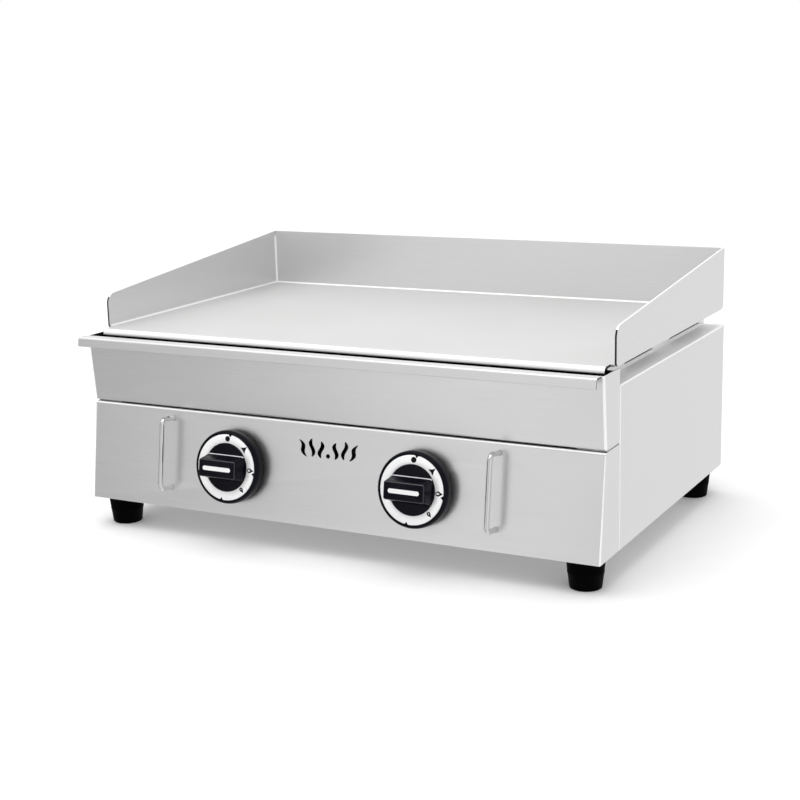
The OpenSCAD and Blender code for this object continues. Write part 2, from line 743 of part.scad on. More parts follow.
base_pan();
left_side_panel();
right_side_panel();
back_panel();
front_panel();
inner_wall();
heat_shield();
left_tray_runner();
right_tray_runner();
griddle_plate();
heat_slab();
left_splash_guard();
right_splash_guard();
back_splash_guard();
left_handle();
right_handle();
handle_nuts();
front_left_foot();
front_right_foot();
rear_left_foot();
rear_right_foot();
foot_screws();
panel_screws();
gas_manifold();
gas_inlet_pipe();
inlet_lock_nut();
left_manifold_bracket();
right_manifold_bracket();
left_valve_body();
right_valve_body();
left_injector();
right_injector();
left_burner();
right_burner();
burner_rail();
left_igniter();
right_igniter();
left_ignition_lead();
right_ignition_lead();
left_electrode();
right_electrode();
left_ceramic();
right_ceramic();
left_valve_plug();
right_valve_plug();
left_valve_stem();
right_valve_stem();
left_return_spring();
right_return_spring();
left_knob();
right_knob();
left_dial_ring();
right_dial_ring();
left_air_shutter();
right_air_shutter();
grease_tray();
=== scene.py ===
"""The looks of a counter-top gas griddle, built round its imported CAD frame."""

import json
import math

import bmesh
import bpy
from mathutils import Matrix, Vector


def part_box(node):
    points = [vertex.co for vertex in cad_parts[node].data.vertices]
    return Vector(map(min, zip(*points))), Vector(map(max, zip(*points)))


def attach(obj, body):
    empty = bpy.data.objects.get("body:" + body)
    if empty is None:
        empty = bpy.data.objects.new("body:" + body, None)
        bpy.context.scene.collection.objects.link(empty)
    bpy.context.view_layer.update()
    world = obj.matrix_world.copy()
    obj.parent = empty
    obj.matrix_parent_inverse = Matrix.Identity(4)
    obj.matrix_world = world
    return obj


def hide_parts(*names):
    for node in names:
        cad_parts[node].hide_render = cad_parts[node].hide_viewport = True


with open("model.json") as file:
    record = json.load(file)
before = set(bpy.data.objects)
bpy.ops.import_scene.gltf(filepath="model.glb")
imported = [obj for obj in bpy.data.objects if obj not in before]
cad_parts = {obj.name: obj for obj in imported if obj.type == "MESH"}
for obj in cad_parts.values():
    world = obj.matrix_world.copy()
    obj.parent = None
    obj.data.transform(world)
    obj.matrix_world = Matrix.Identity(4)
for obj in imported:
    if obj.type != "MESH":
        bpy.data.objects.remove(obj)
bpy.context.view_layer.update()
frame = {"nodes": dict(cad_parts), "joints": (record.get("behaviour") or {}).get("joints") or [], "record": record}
MM = 0.001
LEFT, RIGHT = -1, 1
SIDE_NAMES = {LEFT: "left", RIGHT: "right"}
FEET = ("front_left_foot", "front_right_foot", "rear_left_foot", "rear_right_foot")
HAIR = 0.1 * MM  # slack for picking out points or faces by their place
OVERLAP = 0.01 * MM  # keeps two faces from lying in one plane


def lo(node):
    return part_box(node)[0]


def hi(node):
    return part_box(node)[1]


def middle(node):
    return (lo(node) + hi(node)) / 2


def configure(item, **settings):
    for key, value in settings.items():
        setattr(item, key, value)
    return item


# ---- Driving places, all read from the frame ----


def extent(node, direction, keep=lambda point: True):
    """Lowest and highest reach of a CAD node along a direction, over the points to keep."""
    points = [v.co for v in frame["nodes"][node].data.vertices if keep(v.co)]
    reach = [point.dot(Vector(direction)) for point in points]
    return min(reach), max(reach)


SHEET = 1.2 * MM
PANEL_X = hi("right_side_panel").x
PANEL_FRONT = lo("right_side_panel").y
PANEL_BACK = hi("back_panel").y
BODY_LOW = lo("right_side_panel").z
DECK_LOW = hi("right_side_panel").z
DECK_TOP = hi("griddle_plate").z
JOINTS = {joint["name"]: joint for joint in frame["joints"]}
MOUNTS = {mount["name"]: mount for mount in frame["record"]["mounts"]}
LEDGE_H = extent("right_side_panel", (0, 0, 1), lambda p: p.x > PANEL_X - HAIR)[1]
RISER_X = extent("right_side_panel", (1, 0, 0), lambda p: p.z > LEDGE_H + MM)[1]
INLET_X = MOUNTS["gas_inlet"]["pos_m"][0]

# The front panel's outward normal, its lean and the direction up its slope
OUTWARD = Vector(JOINTS["left_valve_turn"]["axis"])
LEAN = math.atan2(OUTWARD.z, -OUTWARD.y)
UP_SLOPE = Vector((0, math.sin(LEAN), math.cos(LEAN)))
PANEL_LOW_Y = lo("front_panel").y
PANEL_H = hi("front_panel").z
PANEL_TOP_Y = PANEL_LOW_Y + (PANEL_H - BODY_LOW) * math.tan(LEAN)
PANEL_FOOT = Vector((0, PANEL_LOW_Y, BODY_LOW))


def panel_reach(node, direction):
    """Lowest and highest reach of a CAD node along a direction, from the panel's lower edge."""
    return [value - PANEL_FOOT.dot(direction) for value in extent(node, direction)]


KNOB_V = (Vector(JOINTS["left_valve_turn"]["pos_m"]) - PANEL_FOOT).dot(UP_SLOPE)
WIRE_R = (hi("left_handle").x - lo("left_handle").x) / 2
HANDLE_LOW_V = panel_reach("left_handle", UP_SLOPE)[0] + WIRE_R
HANDLE_HIGH_V = panel_reach("left_handle", UP_SLOPE)[1] - WIRE_R


def body_point(x, y, z):
    """A point in mm: y back from the side panels' front, z up from the underside."""
    return Vector((x * MM, PANEL_FRONT + y * MM, BODY_LOW + z * MM))


# ---- Camera ----

CAMERA_PLACE = body_point(733.5, -1269.0, 448.3)
CAMERA_YAW, CAMERA_PITCH, CAMERA_ROLL = 28.0, -12.82, -1.41
CAMERA_LENS = 69.48


def add_object(name, data):
    obj = bpy.data.objects.new(name, data)
    bpy.context.scene.collection.objects.link(obj)
    return obj


def make_camera():
    camera = add_object("camera", bpy.data.cameras.new("camera"))
    for degrees, axis in ((CAMERA_YAW, "Z"), (90 + CAMERA_PITCH, "X"), (CAMERA_ROLL, "Z")):
        camera.matrix_world @= Matrix.Rotation(math.radians(degrees), 4, axis)
    camera.location = CAMERA_PLACE
    configure(camera.data, sensor_width=36, lens=CAMERA_LENS, clip_start=0.05, clip_end=60)
    bpy.context.scene.camera = camera


make_camera()

# ---- Materials ----

EVEN = (1, 1, 1)  # a noise that isn't stretched


def grey(level):
    return (level, level, level)


def scaled(color, factor):
    return tuple(min(1.0, c * factor) for c in color)


class Tree:
    """Short calls for the nodes of a material or a world."""

    def __init__(self, owner):
        owner.use_nodes = True
        self.tree = owner.node_tree

    def add(self, kind, **settings):
        return configure(self.tree.nodes.new(kind), **settings)

    def feed(self, value, socket):
        """Links an output to a socket, or sets the socket to a colour or a number."""
        if isinstance(value, bpy.types.NodeSocket):
            self.tree.links.new(value, socket)
        else:
            socket.default_value = (*value, 1) if isinstance(value, tuple) else value

    def spread(self, value, low=0.0, high=1.0, start=0.3, end=0.7):
        """Maps value from start..end to low..high."""
        node = self.add("ShaderNodeMapRange")
        for key, number in (("Value", value), ("From Min", start), ("From Max", end),
                            ("To Min", low), ("To Max", high)):
            self.feed(number, node.inputs[key])
        return node.outputs["Result"]

    def ramp(self, value, stops):
        """A colour ramp through (position, colour) stops."""
        node = self.add("ShaderNodeValToRGB")
        elements = node.color_ramp.elements
        while len(elements) < len(stops):
            elements.new(0.5)
        for element, (position, color) in zip(elements, stops):
            element.position = position
            element.color = (*color, 1)
        self.feed(value, node.inputs["Fac"])
        return node.outputs["Color"]

    def mix(self, factor, first, second):
        node = self.add("ShaderNodeMix", data_type="RGBA")
        self.feed(factor, node.inputs["Factor"])
        self.feed(first, node.inputs[6])
        self.feed(second, node.inputs[7])
        return node.outputs[2]


class Look(Tree):
    """A new material with a Principled surface; noises are laid out in object coordinates."""

    def __init__(self, name, color, roughness=0.4, metallic=0.0, **settings):
        self.material = bpy.data.materials.new(name)
        super().__init__(self.material)
        self.shader = self.tree.nodes["Principled BSDF"].inputs
        self.feed(color, self.shader["Base Color"])
        for key, value in {"Roughness": roughness, "Metallic": metallic, **settings}.items():
            self.feed(value, self.shader[key.replace("_", " ")])
        self.place = self.add("ShaderNodeTexCoord").outputs["Object"]

    def noise(self, scale, detail=3.0, stretch=EVEN, roughness=0.5):
        mapping = self.add("ShaderNodeMapping")
        mapping.inputs["Scale"].default_value = stretch
        self.feed(self.place, mapping.inputs["Vector"])
        node = self.add("ShaderNodeTexNoise")
        for key, value in (("Vector", mapping.outputs["Vector"]), ("Scale", scale),
                           ("Detail", detail), ("Roughness", roughness)):
            self.feed(value, node.inputs[key])
        return node.outputs["Fac"]

    def tone(self, color):
        self.feed(color, self.shader["Base Color"])

    def rough(self, value, low, high):
        self.feed(self.spread(value, low, high), self.shader["Roughness"])

    def bump(self, height, strength, distance):
        """Adds a bump on top of the ones before it."""
        node = self.add("ShaderNodeBump")
        for key, value in (("Strength", strength), ("Distance", distance), ("Height", height)):
            self.feed(value, node.inputs[key])
        previous = self.shader["Normal"].links
        if previous:
            self.feed(previous[0].from_socket, node.inputs["Normal"])
        self.feed(node.outputs["Normal"], self.shader["Normal"])


def speckled(name, base, cloud, tones=None, spread=(), grain=None, rough=None, bump=None,
             stops=None, **settings):
    """A surface whose tone follows a cloud noise, and whose roughness and bump follow a grain.

    base: colour, roughness and metallic; cloud and grain: what Look.noise takes; bump: strength,
    distance and perhaps a noise of its own; stops: a colour ramp in place of two tones. Without
    a grain, the cloud does all three.
    """
    look = Look(name, *base, **settings)
    field = look.noise(*cloud)
    if tones:
        look.tone(look.mix(look.spread(field, *spread), *tones))
    if stops:
        look.tone(look.ramp(field, stops))
    if grain:
        field = look.noise(*grain)
    if rough:
        look.rough(field, *rough)
    if bump:
        strength, distance, *own = bump
        look.bump(look.noise(*own[0]) if own else field, strength, distance)
    return look.material


def brushed_steel(name, along):
    """Stainless sheet brushed along one axis: fine streaks, faint clouding, long scratches."""
    color = grey(0.75)
    look = Look(name, color, metallic=1.0, Anisotropic=0.35)
    axis = "xyz".index(along)
    stretch = [260.0, 260.0, 260.0]
    stretch[axis] = 3.0
    streaks = look.noise(7.0, 4.0, tuple(stretch), 0.62)
    clouds = look.noise(5.5, 2.0)
    stretch[axis] = 1.2
    scratches = look.noise(2.1, 2.0, tuple(stretch))
    tone = look.mix(look.spread(streaks), scaled(color, 0.95), scaled(color, 1.025))
    look.tone(look.mix(look.spread(clouds, 0.0, 0.45, 0.42, 0.72), tone, scaled(color, 0.97)))
    look.rough(streaks, 0.3, 0.42)
    look.bump(look.spread(scratches, 0.0, 1.0, 0.66, 0.74), 0.05, 0.0002)
    look.bump(streaks, 0.06, 0.0003)
    return look.material


def plate_steel():
    """The cooking deck: evenly blasted bright steel, a very fine tooth, faint heat clouding."""
    color = grey(0.70)
    look = Look("plate_steel", color, 0.5, 0.8)
    tooth = look.noise(1900.0, 2.0)
    streaks = look.noise(7.0, 4.0, (2.0, 120.0, 120.0), 0.6)
    clouds = look.noise(7.0)
    look.tone(look.mix(look.spread(clouds, 0.0, 1.0, 0.35, 0.7), color, (0.675, 0.674, 0.67)))
    look.rough(streaks, 0.46, 0.56)
    look.bump(tooth, 0.10, 0.0002)
    look.bump(streaks, 0.05, 0.0003)
    return look.material


def mill_sheet():
    """Plain galvanised or mill-finish sheet inside the body."""
    look = Look("mill_sheet", grey(0.5), 0.5, 1.0)
    spangle = look.add("ShaderNodeTexVoronoi")
    spangle.inputs["Scale"].default_value = 95
    look.feed(look.place, spangle.inputs["Vector"])
    flake = look.spread(spangle.outputs["Distance"], 0.0, 1.0, 0.1, 0.8)
    look.tone(look.mix(flake, (0.42, 0.42, 0.43), (0.6, 0.6, 0.61)))
    look.rough(look.noise(40.0), 0.42, 0.62)
    return look.material


def machined(name, color, roughness, lines=(1, 1, 300)):
    """Turned metal: fine rings and a little tarnish."""
    return speckled(
        name, (color, roughness, 1.0), (60.0, 4.0), (color, scaled(color, 0.72)),
        (0.0, 0.8, 0.45, 0.75), (9.0, 2.0, lines), (roughness - 0.07, roughness + 0.1),
        (0.05, 0.0002),
    )


def printed(name, color):
    """Screen-printed ink with slightly uneven cover."""
    thin = tuple(min(1.0, c * 0.9 + 0.004) for c in color)
    return speckled(name, (color, 0.5), (2500.0, 2.0), (color, thin), rough=(0.42, 0.6),
                    Specular_IOR_Level=0.1)


STEEL_X = brushed_steel("steel_along_x", "x")
STEEL_Y = brushed_steel("steel_along_y", "y")
PLATE = plate_steel()
MILL = mill_sheet()
ZINC = machined("zinc_fastener", (0.66, 0.67, 0.69), 0.3)
PIPE = machined("zinc_pipe", (0.5, 0.5, 0.52), 0.38, (1, 300, 1))
BRASS = machined("brass", (0.72, 0.55, 0.24), 0.28)
INK = printed("dial_ink", (0.002, 0.002, 0.004))
POINTER = printed("pointer_paint", grey(0.85))
# Polished round wire with fine drawing lines
WIRE = speckled("bright_wire", ((0.66, 0.66, 0.67), 0.05, 1.0), (9.0, 3.0, (300, 300, 12)),
                rough=(0.03, 0.09), bump=(0.04, 0.0002))
# Hot-rolled slab under the deck, with dark scale
IRON = speckled("oxide_iron", ((0.09, 0.085, 0.08), 0.65, 0.7), (160.0, 6.0, EVEN, 0.6),
                ((0.05, 0.048, 0.047), (0.16, 0.13, 0.11)), bump=(0.3, 0.0005))
# Near-black phenolic with a cool cast, a satin skin and fine moulding texture
PLASTIC = speckled("knob_plastic", ((0.002, 0.002, 0.005), 0.3), (30.0,),
                   ((0.001, 0.001, 0.004), (0.003, 0.003, 0.007)), grain=(1400.0, 2.0),
                   rough=(0.24, 0.36), bump=(0.05, 0.0002), Specular_IOR_Level=0.1)
# The knob's plastic where fingers have polished the edges
GLOSS = speckled("moulded_gloss", ((0.004, 0.004, 0.01), 0.2), (40.0, 2.0),
                 rough=(0.16, 0.26), Specular_IOR_Level=0.6)
# Pale grey that paints a highlight along the root of the grip's upper side
PAINTED_RIDGE_HIGHLIGHT = speckled("painted_ridge_highlight", ((0.55, 0.55, 0.58), 0.3), (220.0,),
                ((0.66, 0.66, 0.69), (0.84, 0.84, 0.86)), rough=(0.25, 0.4))
# Satin foil ring of the dial
SILVER = speckled("dial_silver", ((0.96, 0.96, 0.97), 0.42, 0.25), (1100.0, 2.0),
                  ((0.93, 0.93, 0.94), (0.98, 0.98, 0.98)), rough=(0.36, 0.48))
# Moulded black rubber, matt
RUBBER = speckled("foot_rubber", (grey(0.003), 0.62), (45.0,), (grey(0.001), grey(0.002)),
                  (0.0, 0.5, 0.5, 0.8), (700.0, 4.0, EVEN, 0.6), (0.5, 0.75), (0.2, 0.0004),
                  Specular_IOR_Level=0.02)
CERAMIC = speckled("ceramic", ((0.86, 0.84, 0.78), 0.25), (500.0,),
                   ((0.87, 0.85, 0.80), (0.7, 0.67, 0.6)), (0.0, 1.0, 0.55, 0.75),
                   rough=(0.2, 0.35))
SILICONE = speckled("lead_silicone", ((0.35, 0.03, 0.02), 0.5), (800.0, 2.0),
                    ((0.32, 0.03, 0.02), (0.42, 0.05, 0.03)), bump=(0.1, 0.0002))
# Near-black that paints a dark reflection and shade on the cut ends of sheets
PAINTED_DARK_EDGE = speckled("painted_dark_edge", ((0.012, 0.012, 0.016), 0.5, 0.3), (9.0, 2.0, (400, 400, 20)),
                ((0.006, 0.006, 0.01), (0.02, 0.02, 0.026)), Specular_IOR_Level=0.15)
# Burner tube: steel with straw and blue heat tint and light oxide
HEAT = speckled("heat_steel", ((0.4, 0.37, 0.34), 0.45, 1.0), (14.0, 4.0, (1, 1, 1.6)), stops=[
    (0.3, (0.30, 0.27, 0.25)), (0.45, (0.46, 0.36, 0.22)), (0.56, (0.26, 0.22, 0.30)),
    (0.7, (0.36, 0.37, 0.40)),
], grain=(900.0, 2.0), rough=(0.38, 0.6), bump=(0.12, 0.0003))
# Near-black painted shade inside the tray's trough and on the front end of the risers, with a faint mottle
PAINTED_SHADE = speckled("painted_shade", ((0.012, 0.011, 0.012), 0.4, 0.2), (24.0, 5.0, EVEN, 0.6),
                  ((0.006, 0.006, 0.008), (0.022, 0.019, 0.016)), rough=(0.3, 0.55),
                  bump=(0.15, 0.0004, (160.0,)), Specular_IOR_Level=0.15)
# Pale steel that paints highlights along folds, rounded edges and welds
PAINTED_HIGHLIGHT = speckled("painted_bend_highlight", (grey(0.93), 0.38, 0.35), (30.0, 3.0, (20, 20, 20)),
                     (grey(0.915), grey(0.945)), rough=(0.36, 0.42))
# Pale satin steel that paints light into the shaded ledge and riser under the guards
LEDGE_PAINTED_LIGHT = speckled("painted_light_ledge", ((0.93, 0.93, 0.935), 0.5, 0.15), (12.0, 3.0, (40, 1, 40)),
                 ((0.90, 0.90, 0.905), (0.95, 0.95, 0.955)), rough=(0.44, 0.56))

# ---- Mesh tools ----


def arc(centre, radii, start, end, steps):
    """Points round an ellipse, from one angle to another in degrees."""
    turns = [math.radians(start + (end - start) * i / steps) for i in range(steps + 1)]
    return [(centre[0] + radii[0] * math.cos(turn), centre[1] + radii[1] * math.sin(turn))
            for turn in turns]


def circle(x, y, radius, points=32):
    return arc((x, y), (radius, radius), 0, 360, points)[:-1]


def slot_outline(x, y, length, width):
    """A slot along x with round ends."""
    reach, radii = (length - width) / 2, (width / 2, width / 2)
    return arc((x + reach, y), radii, -90, 90, 8) + arc((x - reach, y), radii, 90, 270, 8)


def rounded(corners, steps=8):
    """An outline from corners (a, b, radius), with each corner rounded."""
    points = []
    for i, (a, b, radius) in enumerate(corners):
        here = Vector((a, b))
        if radius == 0:
            points.append(here)
            continue
        back = (Vector(corners[i - 1][:2]) - here).normalized()
        ahead = (Vector(corners[(i + 1) % len(corners)][:2]) - here).normalized()
        half = back.angle(ahead) / 2
        centre = here + (back + ahead).normalized() * radius / math.sin(half)
        start = here + back * radius / math.tan(half) - centre
        end = here + ahead * radius / math.tan(half) - centre
        sweep = math.pi - 2 * half
        for step in range(steps + 1):
            k = step / steps
            arm = math.sin((1 - k) * sweep) * start + math.sin(k * sweep) * end
            points.append(centre + arm / math.sin(sweep))
    return points


def add_loft(bm, rings):
    """A closed solid through rings of points, with flat ends."""
    rings = [[bm.verts.new(point) for point in ring] for ring in rings]
    faces = [bm.faces.new(rings[0]), bm.faces.new(rings[-1])]
    for one, two in zip(rings, rings[1:]):
        for i in range(len(one)):
            j = (i + 1) % len(one)
            faces.append(bm.faces.new((one[i], one[j], two[j], two[i])))
    bmesh.ops.recalc_face_normals(bm, faces=faces)


def add_prism(bm, outline, axis, low, high):
    """A closed prism whose outline lies across the axis."""
    order = {"x": (2, 0, 1), "y": (0, 2, 1), "z": (0, 1, 2)}[axis]
    add_loft(bm, [
        [[(a, b, level)[k] for k in order] for a, b in outline] for level in (low, high)
    ])


def add_block(bm, low, high):
    (x, y, z), (far_x, far_y, top) = low, high
    add_prism(bm, [(x, y), (far_x, y), (far_x, far_y), (x, far_y)], "z", z, top)


def add_flat(bm, matrix, outline, low, high):
    """A prism along the matrix's z, from an (x, y) outline."""
    add_loft(bm, [[matrix @ Vector((x, y, level)) for x, y in outline] for level in (low, high)])


def add_lathe(bm, profile, segments, matrix):
    """A solid turned round the matrix's z from (radius, height) points; radius 0 closes it."""
    turns = [2 * math.pi * i / segments for i in range(segments)]
    rings = [[
        bm.verts.new(matrix @ Vector((radius * math.cos(turn), radius * math.sin(turn), height)))
        for turn in (turns if radius else turns[:1])
    ] for radius, height in profile]
    faces = []
    for one, two in zip(rings, rings[1:]):
        for i in range(segments):
            j = (i + 1) % segments
            corners = dict.fromkeys((one[i % len(one)], one[j % len(one)],
                                     two[j % len(two)], two[i % len(two)]))
            if len(corners) > 2:
                faces.append(bm.faces.new(list(corners)))
    if profile[0] == profile[-1]:
        bmesh.ops.remove_doubles(bm, verts=rings[0] + rings[-1], dist=1e-7)
    bmesh.ops.recalc_face_normals(bm, faces=[f for f in faces if f.is_valid])


def add_tube(bm, path, radius, sides, across):
    """A round bar swept along a path, with flat ends."""
    rings = []
    for i, point in enumerate(path):
        ahead = (path[min(i + 1, len(path) - 1)] - path[max(i - 1, 0)]).normalized()
        first = ahead.cross(across).normalized()
        second = ahead.cross(first)
        turns = [2 * math.pi * k / sides for k in range(sides)]
        rings.append([point + radius * (math.cos(turn) * first + math.sin(turn) * second)
                      for turn in turns])
    add_loft(bm, rings)


def solid(add, *shape):
    """A new bmesh with one shape in it."""
    bm = bmesh.new()
    add(bm, *shape)
    return bm


def shade(mesh, angle=35):
    mesh.shade_smooth()
    mesh.set_sharp_from_angle(angle=math.radians(angle))


def make_object(name, bm, material, smooth=35):
    mesh = bpy.data.meshes.new(name)
    bm.to_mesh(mesh)
    bm.free()
    shade(mesh, smooth)
    mesh.materials.append(material)
    return add_object(name, mesh)


def combine(obj, tool_bm, operation="DIFFERENCE"):
    """Combines an object with closed solids through an exact boolean, and applies it."""
    tool = make_object("tool", tool_bm, obj.data.materials[0])
    modifier = obj.modifiers.new("combine", "BOOLEAN")
    configure(modifier, object=tool, operation=operation, solver="EXACT")
    bpy.context.view_layer.update()
    evaluated = obj.evaluated_get(bpy.context.evaluated_depsgraph_get())
    mesh = bpy.data.meshes.new_from_object(evaluated)
    shade(mesh)
    obj.modifiers.clear()
    obj.data = mesh
    bpy.data.objects.remove(tool)


def bend_edges(obj, chosen, radius):
    """Rounds the edges whose two end points satisfy chosen, as a press brake leaves them."""
    bm = bmesh.new()
    bm.from_mesh(obj.data)
    edges = [e for e in bm.edges if chosen(e.verts[0].co, e.verts[1].co)]
    bmesh.ops.bevel(
        bm, geom=edges, offset=radius, offset_type="OFFSET", segments=5, profile=0.5,
        affect="EDGES", clamp_overlap=False,
    )
    bm.to_mesh(obj.data)
    bm.free()
    shade(obj.data)


def soften(obj, width=0.22 * MM, segments=2, angle=40):
    """Breaks every sharp edge a little, so that it catches the light."""
    configure(
        obj.modifiers.new("soften", "BEVEL"), width=width, segments=segments,
        limit_method="ANGLE", angle_limit=math.radians(angle), use_clamp_overlap=True,
        harden_normals=True,
    )


def paint(obj, material, chosen):
    """Gives a second material to the faces that chosen(centre, normal) picks."""
    if material.name not in obj.data.materials:
        obj.data.materials.append(material)
    index = obj.data.materials.find(material.name)
    for polygon in obj.data.polygons:
        if chosen(polygon.center, polygon.normal):
            polygon.material_index = index


def fit(obj, body, slot, *nodes):
    """Puts a finished piece on its body, in place of its CAD nodes; slot is not used."""
    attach(obj, body)
    if nodes:
        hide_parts(*nodes)


# ---- Carried-over CAD nodes ----

SLOT_LOOKS = {
    "casing_steel": STEEL_X, "plate_steel": PLATE, "slab_iron": IRON, "shield_sheet": MILL,
    "burner_steel": HEAT, "handle_wire": WIRE, "fastener_steel": ZINC, "gas_pipe": PIPE,
    "brass": BRASS, "knob_black": PLASTIC, "dial_silver": SILVER, "foot_rubber": RUBBER,
    "ceramic": CERAMIC, "lead_silicone": SILICONE,
}


def dress_cad_nodes():
    slot_of = {part["node"]: part["material_slot"] for part in frame["record"]["subparts"]}
    for name, node in frame["nodes"].items():
        node.data.materials.clear()
        node.data.materials.append(SLOT_LOOKS[slot_of[name]])
        shade(node.data, 30)


dress_cad_nodes()

# ---- Casing ----

BEND = 2.0 * MM
STEM_HOLE_R, HANDLE_HOLE_R, FLAME_DOT_R = 6.5 * MM, 2.6 * MM, 2.2 * MM
# Flame slots of one side, in mm: x, lean, low end, high end, sideways wave, width
FLAME_SLOTS = ((8, 0, 67.5, 83.5, 1.6, 4.2), (17.5, 1, 68, 85.5, -1.6, 4),
               (24, 8, 67.5, 83.5, 1.8, 4))
RISER_SLOTS = ((71, 151), (205, 302))


def on_panel(x, v, out=0.0):
    """A point on the front panel, v up its slope and out in front of its face, in metres."""
    return Vector((x, 0, 0)) + PANEL_FOOT + UP_SLOPE * v + OUTWARD * out


def panel_frame(origin):
    """A frame at origin whose y runs up the front panel's slope and z out of its face."""
    matrix = Matrix(((1, 0, 0), UP_SLOPE, OUTWARD)).transposed().to_4x4()
    matrix.translation = origin
    return matrix


def flame_outline(x, lean, low, high, wave, width):
    """An S-shaped stroke that narrows to both ends, from mm."""
    steps = 16
    left, right = [], []
    for i in range(steps + 1):
        k = i / steps
        middle = x + lean * k + wave * math.sin(2 * math.pi * k)
        half = width / 2 * math.sqrt(max(0.0, math.sin(math.pi * k))) + 0.3
        level = low + (high - low) * k
        left.append(((middle - half) * MM, level * MM))
        right.append(((middle + half) * MM, level * MM))
    return left + right[::-1]


def add_panel_prism(bm, outline):
    """A prism through the front panel, from an (x, v) outline."""
    through = 6 * MM
    add_loft(bm, [[on_panel(x, v, out) for x, v in outline] for out in (through, -through)])


def make_front_panel():
    gap = hi("front_panel").y
    tilt = math.tan(LEAN)
    panel = make_object("front_panel_shell", solid(add_prism, [
        (PANEL_LOW_Y, BODY_LOW), (PANEL_TOP_Y, PANEL_H), (gap, PANEL_H), (gap, BODY_LOW),
    ], "x", -PANEL_X, PANEL_X), STEEL_X)
    front = lambda p: p.y < PANEL_LOW_Y + (p.z - BODY_LOW) * tilt + MM
    bend_edges(panel, lambda p, q: front(p) and front(q) and min(p.z, q.z) > PANEL_H - MM, 2.6 * MM)
    bend_edges(panel, lambda p, q: front(p) and front(q) and abs(p.z - q.z) > 0.05, BEND)

    # Hollow it to the sheet, then open the flange behind the top bend
    slope = SHEET / math.cos(LEAN)
    inner = PANEL_X - SHEET
    beyond = 5 * MM
    flange_y = PANEL_TOP_Y + 16 * MM
    combine(panel, solid(add_prism, [
        (PANEL_LOW_Y - beyond * tilt + slope, BODY_LOW - beyond),
        (PANEL_TOP_Y + slope - SHEET * tilt, PANEL_H - SHEET),
        (gap + beyond, PANEL_H - SHEET), (gap + beyond, BODY_LOW - beyond),
    ], "x", -inner, inner))
    combine(panel, solid(
        add_block, (-inner, flange_y, PANEL_H - 3 * MM), (inner, gap + beyond, PANEL_H + 3 * MM)
    ))

    bm = solid(add_panel_prism, circle(0, 70 * MM, FLAME_DOT_R, 24))
    for side, name in SIDE_NAMES.items():
        knob = Vector(JOINTS[f"{name}_valve_turn"]["pos_m"])
        add_panel_prism(bm, circle(knob.x, KNOB_V, STEM_HOLE_R))
        handle = middle(f"{name}_handle")
        for v in (HANDLE_LOW_V, HANDLE_HIGH_V):
            add_panel_prism(bm, circle(handle.x, v, HANDLE_HOLE_R, 20))
        for stroke in FLAME_SLOTS:
            outline = flame_outline(*stroke)
            if side == LEFT:
                outline = [(-x, v) for x, v in reversed(outline)]
            add_panel_prism(bm, outline)
    combine(panel, bm)
    # Painted highlights on the panel's front bends
    paint(panel, PAINTED_HIGHLIGHT, lambda c, n: front(c) and n.y < -0.1 and (abs(n.x) > 0.12 or n.z > 0.3))
    soften(panel)
    fit(panel, "body", "casing_steel", "front_panel")


def make_side_panel(side):
    node = f"{SIDE_NAMES[side]}_side_panel"
    ledge, riser = LEDGE_H, RISER_X
    flange = riser - 14 * MM
    inner_bend = 0.8 * MM
    outline = rounded([
        (PANEL_X, BODY_LOW, 0), (PANEL_X, ledge, BEND), (riser, ledge, 0.9 * MM),
        (riser, DECK_LOW, BEND), (flange, DECK_LOW, 0), (flange, DECK_LOW - SHEET, 0),
        (riser - SHEET, DECK_LOW - SHEET, inner_bend), (riser - SHEET, ledge - SHEET, BEND),
        (PANEL_X - SHEET, ledge - SHEET, inner_bend), (PANEL_X - SHEET, BODY_LOW, 0),
    ], 6)
    outline = [(side * a, b) for a, b in outline]
    shell = solid(add_prism, outline, "y", lo(node).y, hi(node).y)
    panel = make_object(f"{node}_shell", shell, STEEL_Y)
    bm = bmesh.new()
    for start, end in RISER_SLOTS:
        _, y, z = body_point(0, start, 157)
        _, far_y, top = body_point(0, end, 165)
        add_block(bm, (side * (riser - 3 * MM), y, z), (side * (riser + MM), far_y, top))
    combine(panel, bm)
    bend_edges(panel, lambda p, q: (
        max(p.y, q.y) < lo(node).y + HAIR and max(p.z, q.z) < ledge
        and min(side * p.x, side * q.x) > PANEL_X - HAIR
    ), 1.4 * MM)
    # Painted light on the ledge and riser, which lie in the guard's shade
    paint(panel, LEDGE_PAINTED_LIGHT, lambda c, n: c.z > ledge - HAIR and side * c.x < PANEL_X - BEND)

    # The front end of the riser, above the ledge, is painted near-black as shade
    painted_shade_y = lo(f"{SIDE_NAMES[side]}_splash_guard").y + 34 * MM
    bm = bmesh.new()
    bm.from_mesh(panel.data)
    bmesh.ops.bisect_plane(bm, geom=bm.verts[:] + bm.edges[:] + bm.faces[:],
                           plane_co=(0, painted_shade_y, 0), plane_no=(0, 1, 0))
    bm.to_mesh(panel.data)
    bm.free()
    paint(panel, PAINTED_SHADE, lambda c, n: c.z > ledge + MM and c.y < painted_shade_y)
    # Painted highlight on the side panel's front bend
    paint(panel, PAINTED_HIGHLIGHT, lambda c, n: (
        side * n.x > 0.15 and (n.z > 0.15 or n.y < -0.1) and side * c.x > PANEL_X - BEND
    ))
    soften(panel)
    fit(panel, "body", "casing_steel", node)


